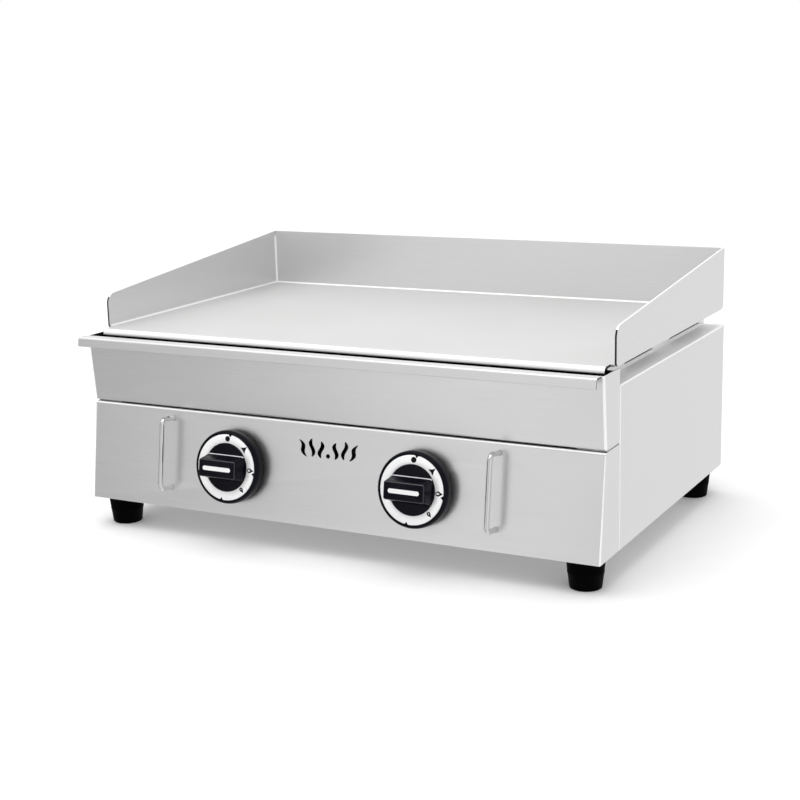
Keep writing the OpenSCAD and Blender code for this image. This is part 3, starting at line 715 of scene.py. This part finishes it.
def make_back_panel():
    front, back = PANEL_BACK - SHEET, PANEL_BACK
    bm = solid(add_prism, [
        (-PANEL_X, BODY_LOW), (PANEL_X, BODY_LOW), (PANEL_X, LEDGE_H), (RISER_X, LEDGE_H),
        (RISER_X, DECK_LOW), (-RISER_X, DECK_LOW), (-RISER_X, LEDGE_H), (-PANEL_X, LEDGE_H),
    ], "y", front, back)
    for side in (LEFT, RIGHT):
        x = side * (PANEL_X - 3 * SHEET)
        add_block(bm, (x, front - 12 * MM, BODY_LOW + 14 * MM),
                  (x + side * SHEET, front - OVERLAP, LEDGE_H - 8 * MM))
    panel = make_object("back_panel_shell", bm, STEEL_X)
    inlet = middle("gas_inlet_pipe")
    holes = [
        slot_outline(column * 62 * MM, BODY_LOW + (128 + row * 16) * MM, 48 * MM, 8 * MM)
        for row in (0, 1) for column in range(-3, 4)
    ]
    bm = bmesh.new()
    for outline in holes + [circle(INLET_X, inlet.z, 10.8 * MM, 40)]:
        add_prism(bm, outline, "y", front - MM, back + MM)
    combine(panel, bm)
    soften(panel)
    fit(panel, "body", "casing_steel", "back_panel")


def make_base_pan():
    low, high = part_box("base_pan")
    bm = solid(add_block, (low.x, low.y, low.z), (high.x, high.y, low.z + SHEET))
    for side in (LEFT, RIGHT):
        a, b = sorted((side * high.x, side * (high.x - SHEET)))
        add_block(bm, (a, PANEL_FRONT + 2 * MM, low.z + SHEET - OVERLAP), (b, high.y, high.z))
    pan = make_object("base_pan_shell", bm, STEEL_X)
    slots = [body_point(column * 46, 110 + row * 34, 0)
             for row in range(5) for column in range(-4, 5)]
    holes = [slot_outline(place.x, place.y, 32 * MM, 6 * MM) for place in slots]
    holes += [circle(*middle(foot).xy, 3.05 * MM, 24) for foot in FEET]
    bm = bmesh.new()
    for outline in holes:
        add_prism(bm, outline, "z", low.z - MM, low.z + 3 * MM)
    combine(pan, bm)
    soften(pan, 0.2 * MM)
    fit(pan, "body", "casing_steel", "base_pan")


# ---- Grease tray ----


def make_grease_tray():
    node = "grease_tray"
    low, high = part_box(node)
    inner_x = PANEL_X - SHEET
    joint_y = extent(node, (0, 1, 0), lambda p: p.x > PANEL_X - HAIR)[1]
    in_pan = lambda p: p.y > joint_y + 5 * MM
    pan_x = extent(node, (1, 0, 0), in_pan)[1]
    pan_top = extent(node, (0, 0, 1), in_pan)[1]
    base_y = extent(node, (0, 1, 0), lambda p: p.z < low.z + HAIR)[0]
    rim_y = extent(node, (0, 1, 0), lambda p: p.z > high.z - HAIR and p.x > PANEL_X - HAIR)[0]
    lean = (base_y - rim_y) / (high.z - low.z)
    tray = make_object("grease_tray_shell", solid(add_prism, [
        (joint_y, low.z), (base_y, low.z), (rim_y, high.z), (joint_y, high.z),
    ], "x", -PANEL_X, PANEL_X), STEEL_X)
    front = lambda p: p.y < base_y - (p.z - low.z) * lean + MM
    bend_edges(tray, lambda p, q: (
        front(p) and front(q) and (abs(p.z - q.z) > 0.03 or max(p.z, q.z) < low.z + MM)
    ), BEND)
    block = solid(add_block, (-pan_x, joint_y - MM, low.z), (pan_x, high.y, pan_top))
    combine(tray, block, "UNION")

    # Hollow the trough and the pan, lower the pan's walls and open the way between the two
    floor = low.z + SHEET
    over = high.z + 5 * MM
    wall = SHEET * 1.01
    behind = joint_y - 2 * SHEET
    pocket_top = DECK_LOW - 4.5 * MM
    combine(tray, solid(add_prism, [
        (joint_y - SHEET, floor), (base_y + wall, floor),
        (base_y - (over - low.z) * lean + wall, over), (joint_y - SHEET, over),
    ], "x", -inner_x, inner_x))
    for start, end in (
        ((-pan_x + SHEET, behind, floor), (pan_x - SHEET, high.y - SHEET, over)),
        ((-pan_x, behind, pan_top), (pan_x, high.y + MM, over)),
        ((-inner_x, behind, pocket_top), (inner_x, joint_y + MM, over)),
    ):
        combine(tray, solid(add_block, start, end))
    inside_y = lambda c: base_y + wall - (c.z - low.z) * lean - HAIR
    # Painted highlights on the tray's front bends
    paint(tray, PAINTED_HIGHLIGHT, lambda c, n: n.y < -0.1 and abs(n.x) > 0.12)
    # The trough's inside is painted near-black as shade
    paint(tray, PAINTED_SHADE, lambda c, n: (
        abs(c.x) < inner_x + HAIR and c.z > floor - HAIR
        and inside_y(c) < c.y < high.y - SHEET + HAIR
    ))
    soften(tray)
    fit(tray, "tray", "casing_steel", node)

    # Pull lip: the rim rolls forward and down in one fold
    root_y = rim_y + 0.35 * MM
    fold_y = low.y + 1.5 * MM
    lip_low = high.z - 9.6 * MM
    lip_end = extent(node, (1, 0, 0), lambda p: p.y < rim_y - MM)[1]
    outline = rounded([
        (root_y, high.z, 0.5 * MM), (fold_y, high.z, 2.5 * MM), (low.y, lip_low, 0.5 * MM),
        (low.y + SHEET, lip_low, 0.5 * MM), (fold_y + SHEET, high.z - SHEET, 1.3 * MM),
        (root_y, high.z - SHEET, 0),
    ], 10)
    lip = make_object("tray_pull_lip", solid(add_prism, outline, "x", low.x, lip_end), STEEL_X)
    paint(lip, PLATE, lambda c, n: n.z > 0.35)
    # The lip's ends are painted dark as shade
    paint(lip, PAINTED_DARK_EDGE, lambda c, n: n.x > 0.9)
    soften(lip, 0.3 * MM, 2, 50)
    fit(lip, "tray", "casing_steel")


# ---- Cooking plate and guards ----

NOSE_R = 5.5 * MM
GUARD_BREAK = 0.25 * MM
WELD_REACH = 1.6 * MM


def make_plate():
    low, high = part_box("griddle_plate")
    deck = DECK_TOP - DECK_LOW
    nose_x = extent("griddle_plate", (1, 0, 0), lambda p: p.y < low.y + MM)[1]
    step_y = lo("right_splash_guard").y
    outline = [(-high.x, high.y), (-high.x, step_y), (-nose_x, step_y),
               (nose_x, step_y), (high.x, step_y), (high.x, high.y)]
    plate = make_object("plate_deck", solid(add_prism, outline, "z", DECK_LOW, DECK_TOP), PLATE)
    fit(plate, "body", "plate_steel", "griddle_plate")
    soften(plate, 0.3 * MM)

    # The nose starts under the deck's edge, a hair lower
    root_y, top = step_y + 0.5 * MM, DECK_TOP - OVERLAP
    outline = rounded([
        (root_y, top, 0), (low.y, top, NOSE_R), (low.y, low.z, 0.6 * MM),
        (low.y + deck, low.z, 0.6 * MM), (low.y + deck, DECK_LOW, NOSE_R - deck),
        (root_y, DECK_LOW, 0),
    ], 14)
    nose = make_object("plate_nose", solid(add_prism, outline, "x", -nose_x, nose_x), PLATE)
    # Painted highlight on the nose's rounded front
    paint(nose, PAINTED_HIGHLIGHT, lambda c, n: n.y < -0.2 and n.z > 0.1)
    # The nose's ends are painted dark as shade
    paint(nose, PAINTED_DARK_EDGE, lambda c, n: abs(n.x) > 0.9)
    soften(nose, 0.5 * MM, 3, 60)
    fit(nose, "body", "plate_steel")


def make_guards():
    flat = 14 * MM  # the CAD's front edge and corner end within this
    for name in SIDE_NAMES.values():
        node = f"{name}_splash_guard"
        low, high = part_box(node)
        front_top = extent(node, (0, 0, 1), lambda p: p.y < low.y + flat)[1]
        slope = (high.z - front_top) / (high.y - low.y - flat)
        outline = rounded([
            (low.y, low.z, 4 * MM), (low.y, front_top - flat * slope, 11 * MM),
            (high.y, high.z, 0.6 * MM), (high.y, low.z, 6 * MM),
        ], 12)
        sheet = solid(add_prism, outline, "x", low.x, high.x)
        guard = make_object(f"{node}_sheet", sheet, STEEL_Y)
        # Painted highlight on the guard's top and back edges
        paint(guard, PAINTED_HIGHLIGHT, lambda c, n: n.z > 0.15 or n.y > 0.6)
        # Painted dark reflection on the guard's front edge
        paint(guard, PAINTED_DARK_EDGE, lambda c, n: n.y < -0.75)
        soften(guard, GUARD_BREAK)
        guard.modifiers["soften"].material = 0
        fit(guard, "body", "casing_steel", node)
    node = "back_splash_guard"
    guard = make_object(f"{node}_sheet", solid(add_block, *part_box(node)), STEEL_X)
    soften(guard, GUARD_BREAK)
    fit(guard, "body", "casing_steel", node)


def make_weld_fillets():
    """Weld fillets between the deck and the guards, and up the two rear corners, in a painted highlight."""
    back_low, back_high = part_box("back_splash_guard")
    x, y = lo("right_splash_guard").x, back_low.y
    front = lo("right_splash_guard").y + 2 * MM
    top = back_low.z + 0.9 * (back_high.z - back_low.z)

    def cove(a, b, step_a, step_b):
        """Concave outline in the corner (a, b) of two faces."""
        reach_a, reach_b = step_a * WELD_REACH, step_b * WELD_REACH
        return [(a, b)] + arc((a + reach_a, b + reach_b), (-reach_a, -reach_b), 90, 0, 8)

    bm = bmesh.new()
    for side in (LEFT, RIGHT):
        add_prism(bm, cove(side * x, DECK_TOP, -side, 1), "y", front, y)
        add_prism(bm, cove(side * x, y, -side, -1), "z", DECK_TOP, top)
    add_prism(bm, cove(y, DECK_TOP, -1, 1), "x", -x, x)
    fit(make_object("guard_weld_fillets", bm, PAINTED_HIGHLIGHT), "body", "plate_steel")


# ---- Handles and feet ----


def make_handle(side):
    node = f"{SIDE_NAMES[side]}_handle"
    x = middle(node).x
    bend, back = 6 * MM, -9 * MM
    out = panel_reach(node, OUTWARD)[1] - WIRE_R - bend
    low, high = HANDLE_LOW_V, HANDLE_HIGH_V
    path = [
        (low, back), (low, 0), *arc((low + bend, out), (bend, bend), 180, 90, 12),
        *arc((high - bend, out), (bend, bend), 90, 0, 12), (high, 0), (high, back),
    ]
    bm = solid(add_tube, [on_panel(x, *point) for point in path], WIRE_R, 28, Vector((1, 0, 0)))
    fit(make_object(f"{node}_wire", bm, WIRE, 50), "body", "handle_wire", node)


def make_foot(node):
    low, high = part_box(node)
    centre = Vector((*middle(node).xy, low.z))
    height = high.z - low.z
    bottom_r = extent(node, (1, 0, 0), lambda p: p.z < low.z + HAIR)[1] - centre.x
    top_r = high.x - centre.x
    bottom_round, top_round, rib = 1.6 * MM, 1.2 * MM, 0.25 * MM
    socket_r, screw_r, socket_top = 7 * MM, 3 * MM, 18 * MM

    def side(k, out=0.0, level=None):
        """A point k of the way up the tapered side."""
        return bottom_r + (top_r - bottom_r) * k + out, height * (level or k)

    profile = [
        (socket_r, 0), (bottom_r - bottom_round, 0),
        *arc((bottom_r - bottom_round, bottom_round), (bottom_round, bottom_round), -90, 0, 5),
        side(0.48), side(0.50, rib, 0.495), side(0.52, rib), side(0.53, 0.0, 0.535), side(0.94),
        *arc((top_r - top_round, height - top_round), (top_round, top_round), 0, 90, 4)[1:],
        (screw_r, height), (screw_r, socket_top), (socket_r, socket_top), (socket_r, 0),
    ]
    bm = solid(add_lathe, profile, 72, Matrix.Translation(centre))
    fit(make_object(f"{node}_rubber", bm, RUBBER, 40), "body", "foot_rubber", node)


# ---- Knobs ----

DIAL_OUTER, DIAL_INNER = 32.6 * MM, 24.1 * MM
INK_BURIED, INK_RAISED = 0.1 * MM, 0.06 * MM
OFF_DEGREES, SPARK_DEGREES = 2, 46
STAR_POINT, STAR_WAIST, STAR_TURN = 4.3 * MM, 1.7 * MM, 0.08
# Degrees round the dial, size in mm, share of the flame that is hollow
FLAMES = ((91, 4.1, 0.45), (137, 3.3, 0.25))
NOTCH_DEGREES = (7, 97, 187)
SKIRT_RISE = 10.5 * MM
HUB_R, STEM_BORE_R = 9 * MM, 4.05 * MM


def dial_frame(radius, degrees):
    """Turns a mark drawn upright so that it stands on the dial with its top outwards."""
    turn = math.radians(degrees)
    along = Vector((math.sin(turn), math.cos(turn)))
    across = Vector((math.cos(turn), -math.sin(turn)))
    centre = along * radius
    return lambda x, y: tuple(centre + across * x + along * y)


def flame_mark(scale):
    """A drop-shaped flame outline, wide below and pointed above."""
    points = []
    for i in range(24):
        turn = 2 * math.pi * i / 24
        x = math.sin(turn) * (0.5 + 0.5 * math.cos(turn / 2) ** 2) * 0.72
        y = -math.cos(turn) * 0.9
        if y > 0:
            x *= 1 - y * 0.75
        points.append((x * scale, y * scale))
    return points


def make_dial(name, matrix):
    node = f"{name}_dial_ring"
    base, top = panel_reach(node, OUTWARD)
    wall_top, inset = top - 0.25 * MM, 0.3 * MM
    ring = solid(add_lathe, [
        (DIAL_INNER, base), (DIAL_OUTER, base), (DIAL_OUTER, wall_top), (DIAL_OUTER - inset, top),
        (DIAL_INNER + inset, top), (DIAL_INNER, wall_top), (DIAL_INNER, base),
    ], 120, matrix)
    knob = f"{name}_knob"
    fit(make_object(f"{name}_dial_face", ring, SILVER, 40), knob, "dial_silver", node)

    low, high = top - INK_BURIED, top + INK_RAISED
    centre_r = (DIAL_OUTER + DIAL_INNER) / 2
    star = [
        (r * math.sin(math.pi * i / 3 + STAR_TURN), r * math.cos(math.pi * i / 3 + STAR_TURN))
        for i, r in enumerate([STAR_POINT, STAR_WAIST] * 3)
    ]
    notch = [(-2.0 * MM, 0.3 * MM), (2.0 * MM, 0.3 * MM), (0, -2.4 * MM)]
    marks = [(centre_r, OFF_DEGREES, circle(0, 0, 2.75 * MM, 28)), (centre_r, SPARK_DEGREES, star)]
    marks += [(centre_r, degrees, flame_mark(scale * MM)) for degrees, scale, _ in FLAMES]
    marks += [(DIAL_OUTER, degrees, notch) for degrees in NOTCH_DEGREES]
    bm = bmesh.new()
    for radius, degrees, outline in marks:
        place = dial_frame(radius, degrees)
        add_flat(bm, matrix, [place(a, b) for a, b in outline], low, high)
    for degrees, scale, hollow in FLAMES:
        place = dial_frame(centre_r, degrees)
        core = [place(a, b - 0.25 * scale * MM) for a, b in flame_mark(scale * hollow * MM)]
        core = solid(add_flat, matrix, core, low, high + 0.05 * MM)
        fit(make_object(f"{name}_flame_mark_{degrees}", core, SILVER), knob, "dial_silver")
    fit(make_object(f"{name}_dial_marks", bm, INK), knob, "dial_silver")


def make_knob(side):
    name = SIDE_NAMES[side]
    node = f"{name}_knob"
    matrix = panel_frame(Vector(JOINTS[f"{name}_valve_turn"]["pos_m"]))
    back, top = panel_reach(node, OUTWARD)
    radius = (hi(node).x - lo(node).x) / 2
    skirt = back + SKIRT_RISE
    hollow_r, hollow_top = radius - 4 * MM, back + 7 * MM
    groove_out, groove_in, groove_floor = radius - 3.2 * MM, 23.8 * MM, skirt - 0.2 * MM
    bm = solid(add_lathe, [
        (0, hollow_top), (HUB_R, hollow_top), (hollow_r, hollow_top), (hollow_r, back),
        (radius - 1.0 * MM, back), (radius - 0.2 * MM, back + 0.9 * MM),
        (radius, back + 2.2 * MM), (radius, skirt - 3.6 * MM),
        *arc((radius - 2.3 * MM, skirt - 3.6 * MM), (2.3 * MM, 4.4 * MM), 0, 90, 8)[1:],
        (radius - 2.8 * MM, skirt + 0.85 * MM), (groove_out, skirt + 0.5 * MM),
        (groove_out, groove_floor), (groove_in, groove_floor), (groove_in, skirt + 0.9 * MM),
        (groove_in - 0.5 * MM, skirt + 1.5 * MM), (groove_in - 1.3 * MM, skirt + 1.6 * MM),
        (0, skirt + 1.6 * MM),
    ], 128, matrix)
    hub_top = back + 7.2 * MM
    add_lathe(bm, [(STEM_BORE_R, back), (HUB_R, back), (HUB_R, hub_top), (STEM_BORE_R, hub_top),
                   (STEM_BORE_R, back)], 48, matrix)
    fit(make_object(f"{node}_skirt", bm, PLASTIC), node, "knob_black", node)

    # Grip: height, then half length, half width and corner radius in mm
    root = skirt + 1.2 * MM
    levels = [
        (root, 22.0, 12.9, 3.6), (root + 0.7 * MM, 21.9, 12.6, 3.4),
        (root + 1.2 * MM, 21.8, 12.0, 3.0), (root + 0.45 * (top - root), 21.4, 10.3, 2.4),
        (top - 2.0 * MM, 21.05, 8.9, 2.0), (top - 0.8 * MM, 20.9, 8.6, 1.9),
        (top - 0.25 * MM, 20.5, 8.2, 1.6), (top, 20.0, 7.7, 1.2),
    ]
    box = lambda x, y, r: [(x, y, r), (-x, y, r), (-x, -y, r), (x, -y, r)]
    grip = make_object(f"{node}_grip", solid(add_loft, [
        [matrix @ Vector((*point, height)) for point in rounded(box(x * MM, y * MM, r * MM), 6)]
        for height, x, y, r in levels
    ]), PLASTIC, 45)
    height = lambda c: (c - matrix.translation).dot(OUTWARD)
    paint(grip, GLOSS, lambda c, n: top - 0.8 * MM < height(c) < top - OVERLAP)
    # Painted highlight along the upper side of the grip's root
    paint(grip, PAINTED_RIDGE_HIGHLIGHT, lambda c, n: height(c) < root + 1.2 * MM and n.dot(UP_SLOPE) > 0.6)
    fit(grip, node, "knob_black")

    # A plain raised index bar on the grip's face, in place of lettering
    bar = [(x * MM, y * MM) for x, y in rounded(box(16, 2.1, 2.0), 8)]
    bm = solid(add_flat, matrix, bar, top - 0.1 * MM, top + 0.08 * MM)
    fit(make_object(f"{node}_index", bm, POINTER), node, "knob_black")
    make_dial(name, matrix)


# ---- Fasteners and gas inlet ----

SCREW_HEAD_R, SCREW_R = 4 * MM, 2 * MM
PIPE_R, BORE_R = 9 * MM, 7.4 * MM
THREAD_START, THREAD_PITCH, THREAD_DEPTH = 6 * MM, 1.8 * MM, 1.0 * MM


def rear_frame(origin):
    """A frame at origin whose z runs straight back."""
    matrix = Vector((0, 1, 0)).to_track_quat("Z", "Y").to_matrix().to_4x4()
    matrix.translation = origin
    return matrix


def make_nut(name, matrix, radius, height, bore, slot, material, *nodes):
    """A hexagonal nut with turned chamfers at both ends."""
    outline = circle(0, 0, radius, 6)
    nut = make_object(name, solid(add_flat, matrix, outline, 0, height), material, 25)
    flat = radius * math.cos(math.pi / 6)
    cone = radius - flat
    wide = radius * 1.02
    combine(nut, solid(add_lathe, [
        (bore, -MM), (flat - cone, -OVERLAP), (flat, -OVERLAP), (wide, cone * 0.6),
        (wide, height - cone * 0.6), (flat, height + OVERLAP), (flat - cone, height + OVERLAP),
        (bore, height + MM), (bore, -MM),
    ], 72, matrix), "INTERSECT")
    soften(nut, 0.15 * MM)
    fit(nut, "body", slot, *nodes)


def make_handle_nuts():
    low, high = panel_reach("handle_nuts", OUTWARD)
    nodes = ("handle_nuts",)
    for name in SIDE_NAMES.values():
        x = middle(f"{name}_handle").x
        for label, v in (("lower", HANDLE_LOW_V), ("upper", HANDLE_HIGH_V)):
            make_nut(f"{name}_handle_{label}_nut", panel_frame(on_panel(x, v, low)), 4.8 * MM,
                     high - low, WIRE_R, "fastener_steel", ZINC, *nodes)
            nodes = ()


def make_panel_screws():
    """Pan-head screws with a cross recess on the back panel."""
    low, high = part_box("panel_screws")
    rise = high.y - PANEL_BACK
    tip = -(PANEL_BACK - low.y)
    rim = 0.5 * MM
    profile = [
        (0, tip), (SCREW_R, tip), (SCREW_R, 0), (SCREW_HEAD_R, 0),
        *arc((SCREW_HEAD_R - 1.7 * MM, rim), (1.7 * MM, rise - rim), 0, 90, 6), (0, rise),
    ]
    heads, crosses = bmesh.new(), bmesh.new()
    for x in (low.x + SCREW_HEAD_R, 0, high.x - SCREW_HEAD_R):
        for z in (low.z + SCREW_HEAD_R, high.z - SCREW_HEAD_R):
            if x == 0 and z > BODY_LOW + 50 * MM:
                continue  # no upper screw in the middle
            matrix = rear_frame((x, PANEL_BACK, z))
            add_lathe(heads, profile, 40, matrix)
            for a, b in ((2.1 * MM, 0.4 * MM), (0.4 * MM, 2.1 * MM)):
                cross = [(a, b), (-a, b), (-a, -b), (a, -b)]
                add_flat(crosses, matrix, cross, rise - 1.2 * MM, rise + MM)
    screws = make_object("back_panel_screws", heads, ZINC)
    combine(screws, crosses)
    soften(screws, 0.1 * MM)
    fit(screws, "body", "fastener_steel", "panel_screws")


def make_gas_inlet():
    node = "gas_inlet_pipe"
    low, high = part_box(node)
    z = middle(node).z
    thread_r = (high.z - low.z) / 2
    valley_r = thread_r - THREAD_DEPTH
    shoulder = body_point(0, 300, 0).y
    root = Vector((INLET_X, shoulder, z))
    length = high.y - shoulder
    start = -5 * MM
    profile = [(BORE_R, start), (PIPE_R, start), (PIPE_R, 0), (thread_r - 0.9 * MM, 0.8 * MM)]
    for i in range(int((length - THREAD_START - 2.2 * MM) / THREAD_PITCH)):
        base = THREAD_START + i * THREAD_PITCH
        profile += [
            (valley_r, base), (thread_r, base + 0.42 * THREAD_PITCH),
            (thread_r, base + 0.58 * THREAD_PITCH), (valley_r, base + THREAD_PITCH),
        ]
    profile += [
        (valley_r, length - 1.2 * MM), (thread_r - 1.8 * MM, length),
        (BORE_R + 0.5 * MM, length), (BORE_R, length - 0.5 * MM), (BORE_R, start),
    ]
    bm = solid(add_lathe, profile, 72, rear_frame(root))
    fit(make_object("gas_inlet_thread", bm, PIPE, 30), "body", "gas_pipe", node)

    bend = INLET_X - low.x
    start_y = lo("gas_manifold").y + PIPE_R
    turn = arc((low.x, start_y + bend), (bend, bend), -90, 0, 16)
    path = [Vector((x, y, z)) for x, y in turn] + [root]
    bm = solid(add_tube, path, PIPE_R, 40, Vector((0, 0, 1)))
    fit(make_object("gas_inlet_bend", bm, PIPE, 50), "body", "gas_pipe")
    make_nut("gas_inlet_nut", rear_frame((INLET_X, PANEL_BACK, z)), 15 * MM,
             hi("inlet_lock_nut").y - PANEL_BACK, thread_r - 0.3 * MM, "brass", BRASS,
             "inlet_lock_nut")


# ---- Inner pieces kept from the CAD ----

# Width of the broken edges in mm; a name without a side stands for both sides
BREAKS = {
    "heat_slab": 1.0, "gas_manifold": 0.5, "burner_rail": 0.3, "inner_wall": 0.3,
    "heat_shield": 0.3, "foot_screws": 0.4, "manifold_bracket": 0.3, "valve_body": 0.6,
    "injector": 0.3, "burner": 0.5, "igniter": 0.8, "ceramic": 0.4, "tray_runner": 0.25,
    "air_shutter": 0.3, "valve_plug": 0.4,
}


def soften_inner_pieces():
    for name, width in BREAKS.items():
        for node in (name, f"left_{name}", f"right_{name}"):
            if node in frame["nodes"]:
                soften(frame["nodes"][node], width * MM, 2, 50)


# ---- Floor and light ----


def make_floor():
    bm = bmesh.new()
    bmesh.ops.create_circle(bm, cap_ends=True, segments=96, radius=14.0)
    paper = speckled("floor_paper", (grey(0.9), 0.9), (35.0,), (grey(0.895), grey(0.905)))
    floor = make_object("floor", bm, paper)
    floor.visible_glossy = False


# Brightness of the studio round the object: degrees to the right of straight in front.
# The low ramp is what the front reflects; the high one is what the back guard reflects.
STUDIO_LOW = [
    (-180, 1.02), (-125, 1.02), (-90, 0.66), (-60, 0.46), (-42, 0.48), (-33, 0.64),
    (-26, 1.15), (-16, 1.50), (-9, 0.60), (6, 0.55), (35, 1.00), (90, 0.90), (180, 1.02),
]
STUDIO_HIGH = [
    (-180, 1.02), (-125, 1.02), (-90, 0.62), (-60, 0.42), (-42, 0.44), (-32, 0.60),
    (-26, 1.25), (-19, 1.70), (-15.5, 0.70), (-6, 0.50), (35, 1.00), (90, 0.90), (180, 1.02),
]
# Heights on the unit sphere where low gives way to high, and high to the ceiling
LOW_TO_HIGH, HIGH_TO_CEILING = (-0.20, -0.14), (0.35, 0.8)
CEILING, BACKDROP = grey(0.85), grey(1.0)


def make_world():
    world = bpy.data.worlds.new("studio")
    bpy.context.scene.world = world
    studio = Tree(world)
    axes = studio.add("ShaderNodeSeparateXYZ")
    studio.feed(studio.add("ShaderNodeTexCoord").outputs["Generated"], axes.inputs[0])
    height = axes.outputs["Z"]
    ahead = studio.add("ShaderNodeMath", operation="MULTIPLY")
    studio.feed(axes.outputs["Y"], ahead.inputs[0])
    studio.feed(-1, ahead.inputs[1])
    turn = studio.add("ShaderNodeMath", operation="ARCTAN2")
    studio.feed(axes.outputs["X"], turn.inputs[0])
    studio.feed(ahead.outputs[0], turn.inputs[1])
    around = studio.spread(turn.outputs[0], 0.0, 1.0, -math.pi, math.pi)

    low, high = (
        studio.ramp(around, [((degrees + 180) / 360, grey(level)) for degrees, level in stops])
        for stops in (STUDIO_LOW, STUDIO_HIGH)
    )
    color = studio.mix(studio.spread(height, 0.0, 1.0, *LOW_TO_HIGH), low, high)
    color = studio.mix(studio.spread(height, 0.0, 1.0, *HIGH_TO_CEILING), color, CEILING)
    # What is seen past the floor's edge is plain white
    seen = studio.add("ShaderNodeLightPath").outputs["Is Camera Ray"]
    color = studio.mix(seen, color, BACKDROP)
    studio.feed(color, studio.tree.nodes["Background"].inputs["Color"])


def add_light(name, kind, energy, **settings):
    return add_object(name, configure(bpy.data.lights.new(name, kind), energy=energy, **settings))


def make_lights():
    target = Vector((0, 0, 0.1))
    for name, place, size, power in (
        ("overhead_box", (-0.3, -0.2, 2.6), 2.4, 12), ("left_box", (-2.2, -1.2, 1.7), 1.2, 5),
    ):
        lamp = add_light(name, "AREA", power, shape="RECTANGLE", size=size, size_y=size)
        lamp.location = place
        lamp.rotation_euler = (target - Vector(place)).to_track_quat("-Z", "Y").to_euler()
    wash = add_light("even_wash", "SUN", 1.1, angle=math.radians(60))
    wash.rotation_euler = (math.radians(8), math.radians(-8), 0)


make_front_panel()
for side in (LEFT, RIGHT):
    make_side_panel(side)
    make_handle(side)
    make_knob(side)
make_back_panel()
make_base_pan()
make_grease_tray()
make_plate()
make_guards()
make_weld_fillets()
for foot in FEET:
    make_foot(foot)
make_handle_nuts()
make_panel_screws()
make_gas_inlet()
soften_inner_pieces()
make_floor()
make_world()
make_lights()
bpy.context.scene.view_settings.view_transform = "Standard"
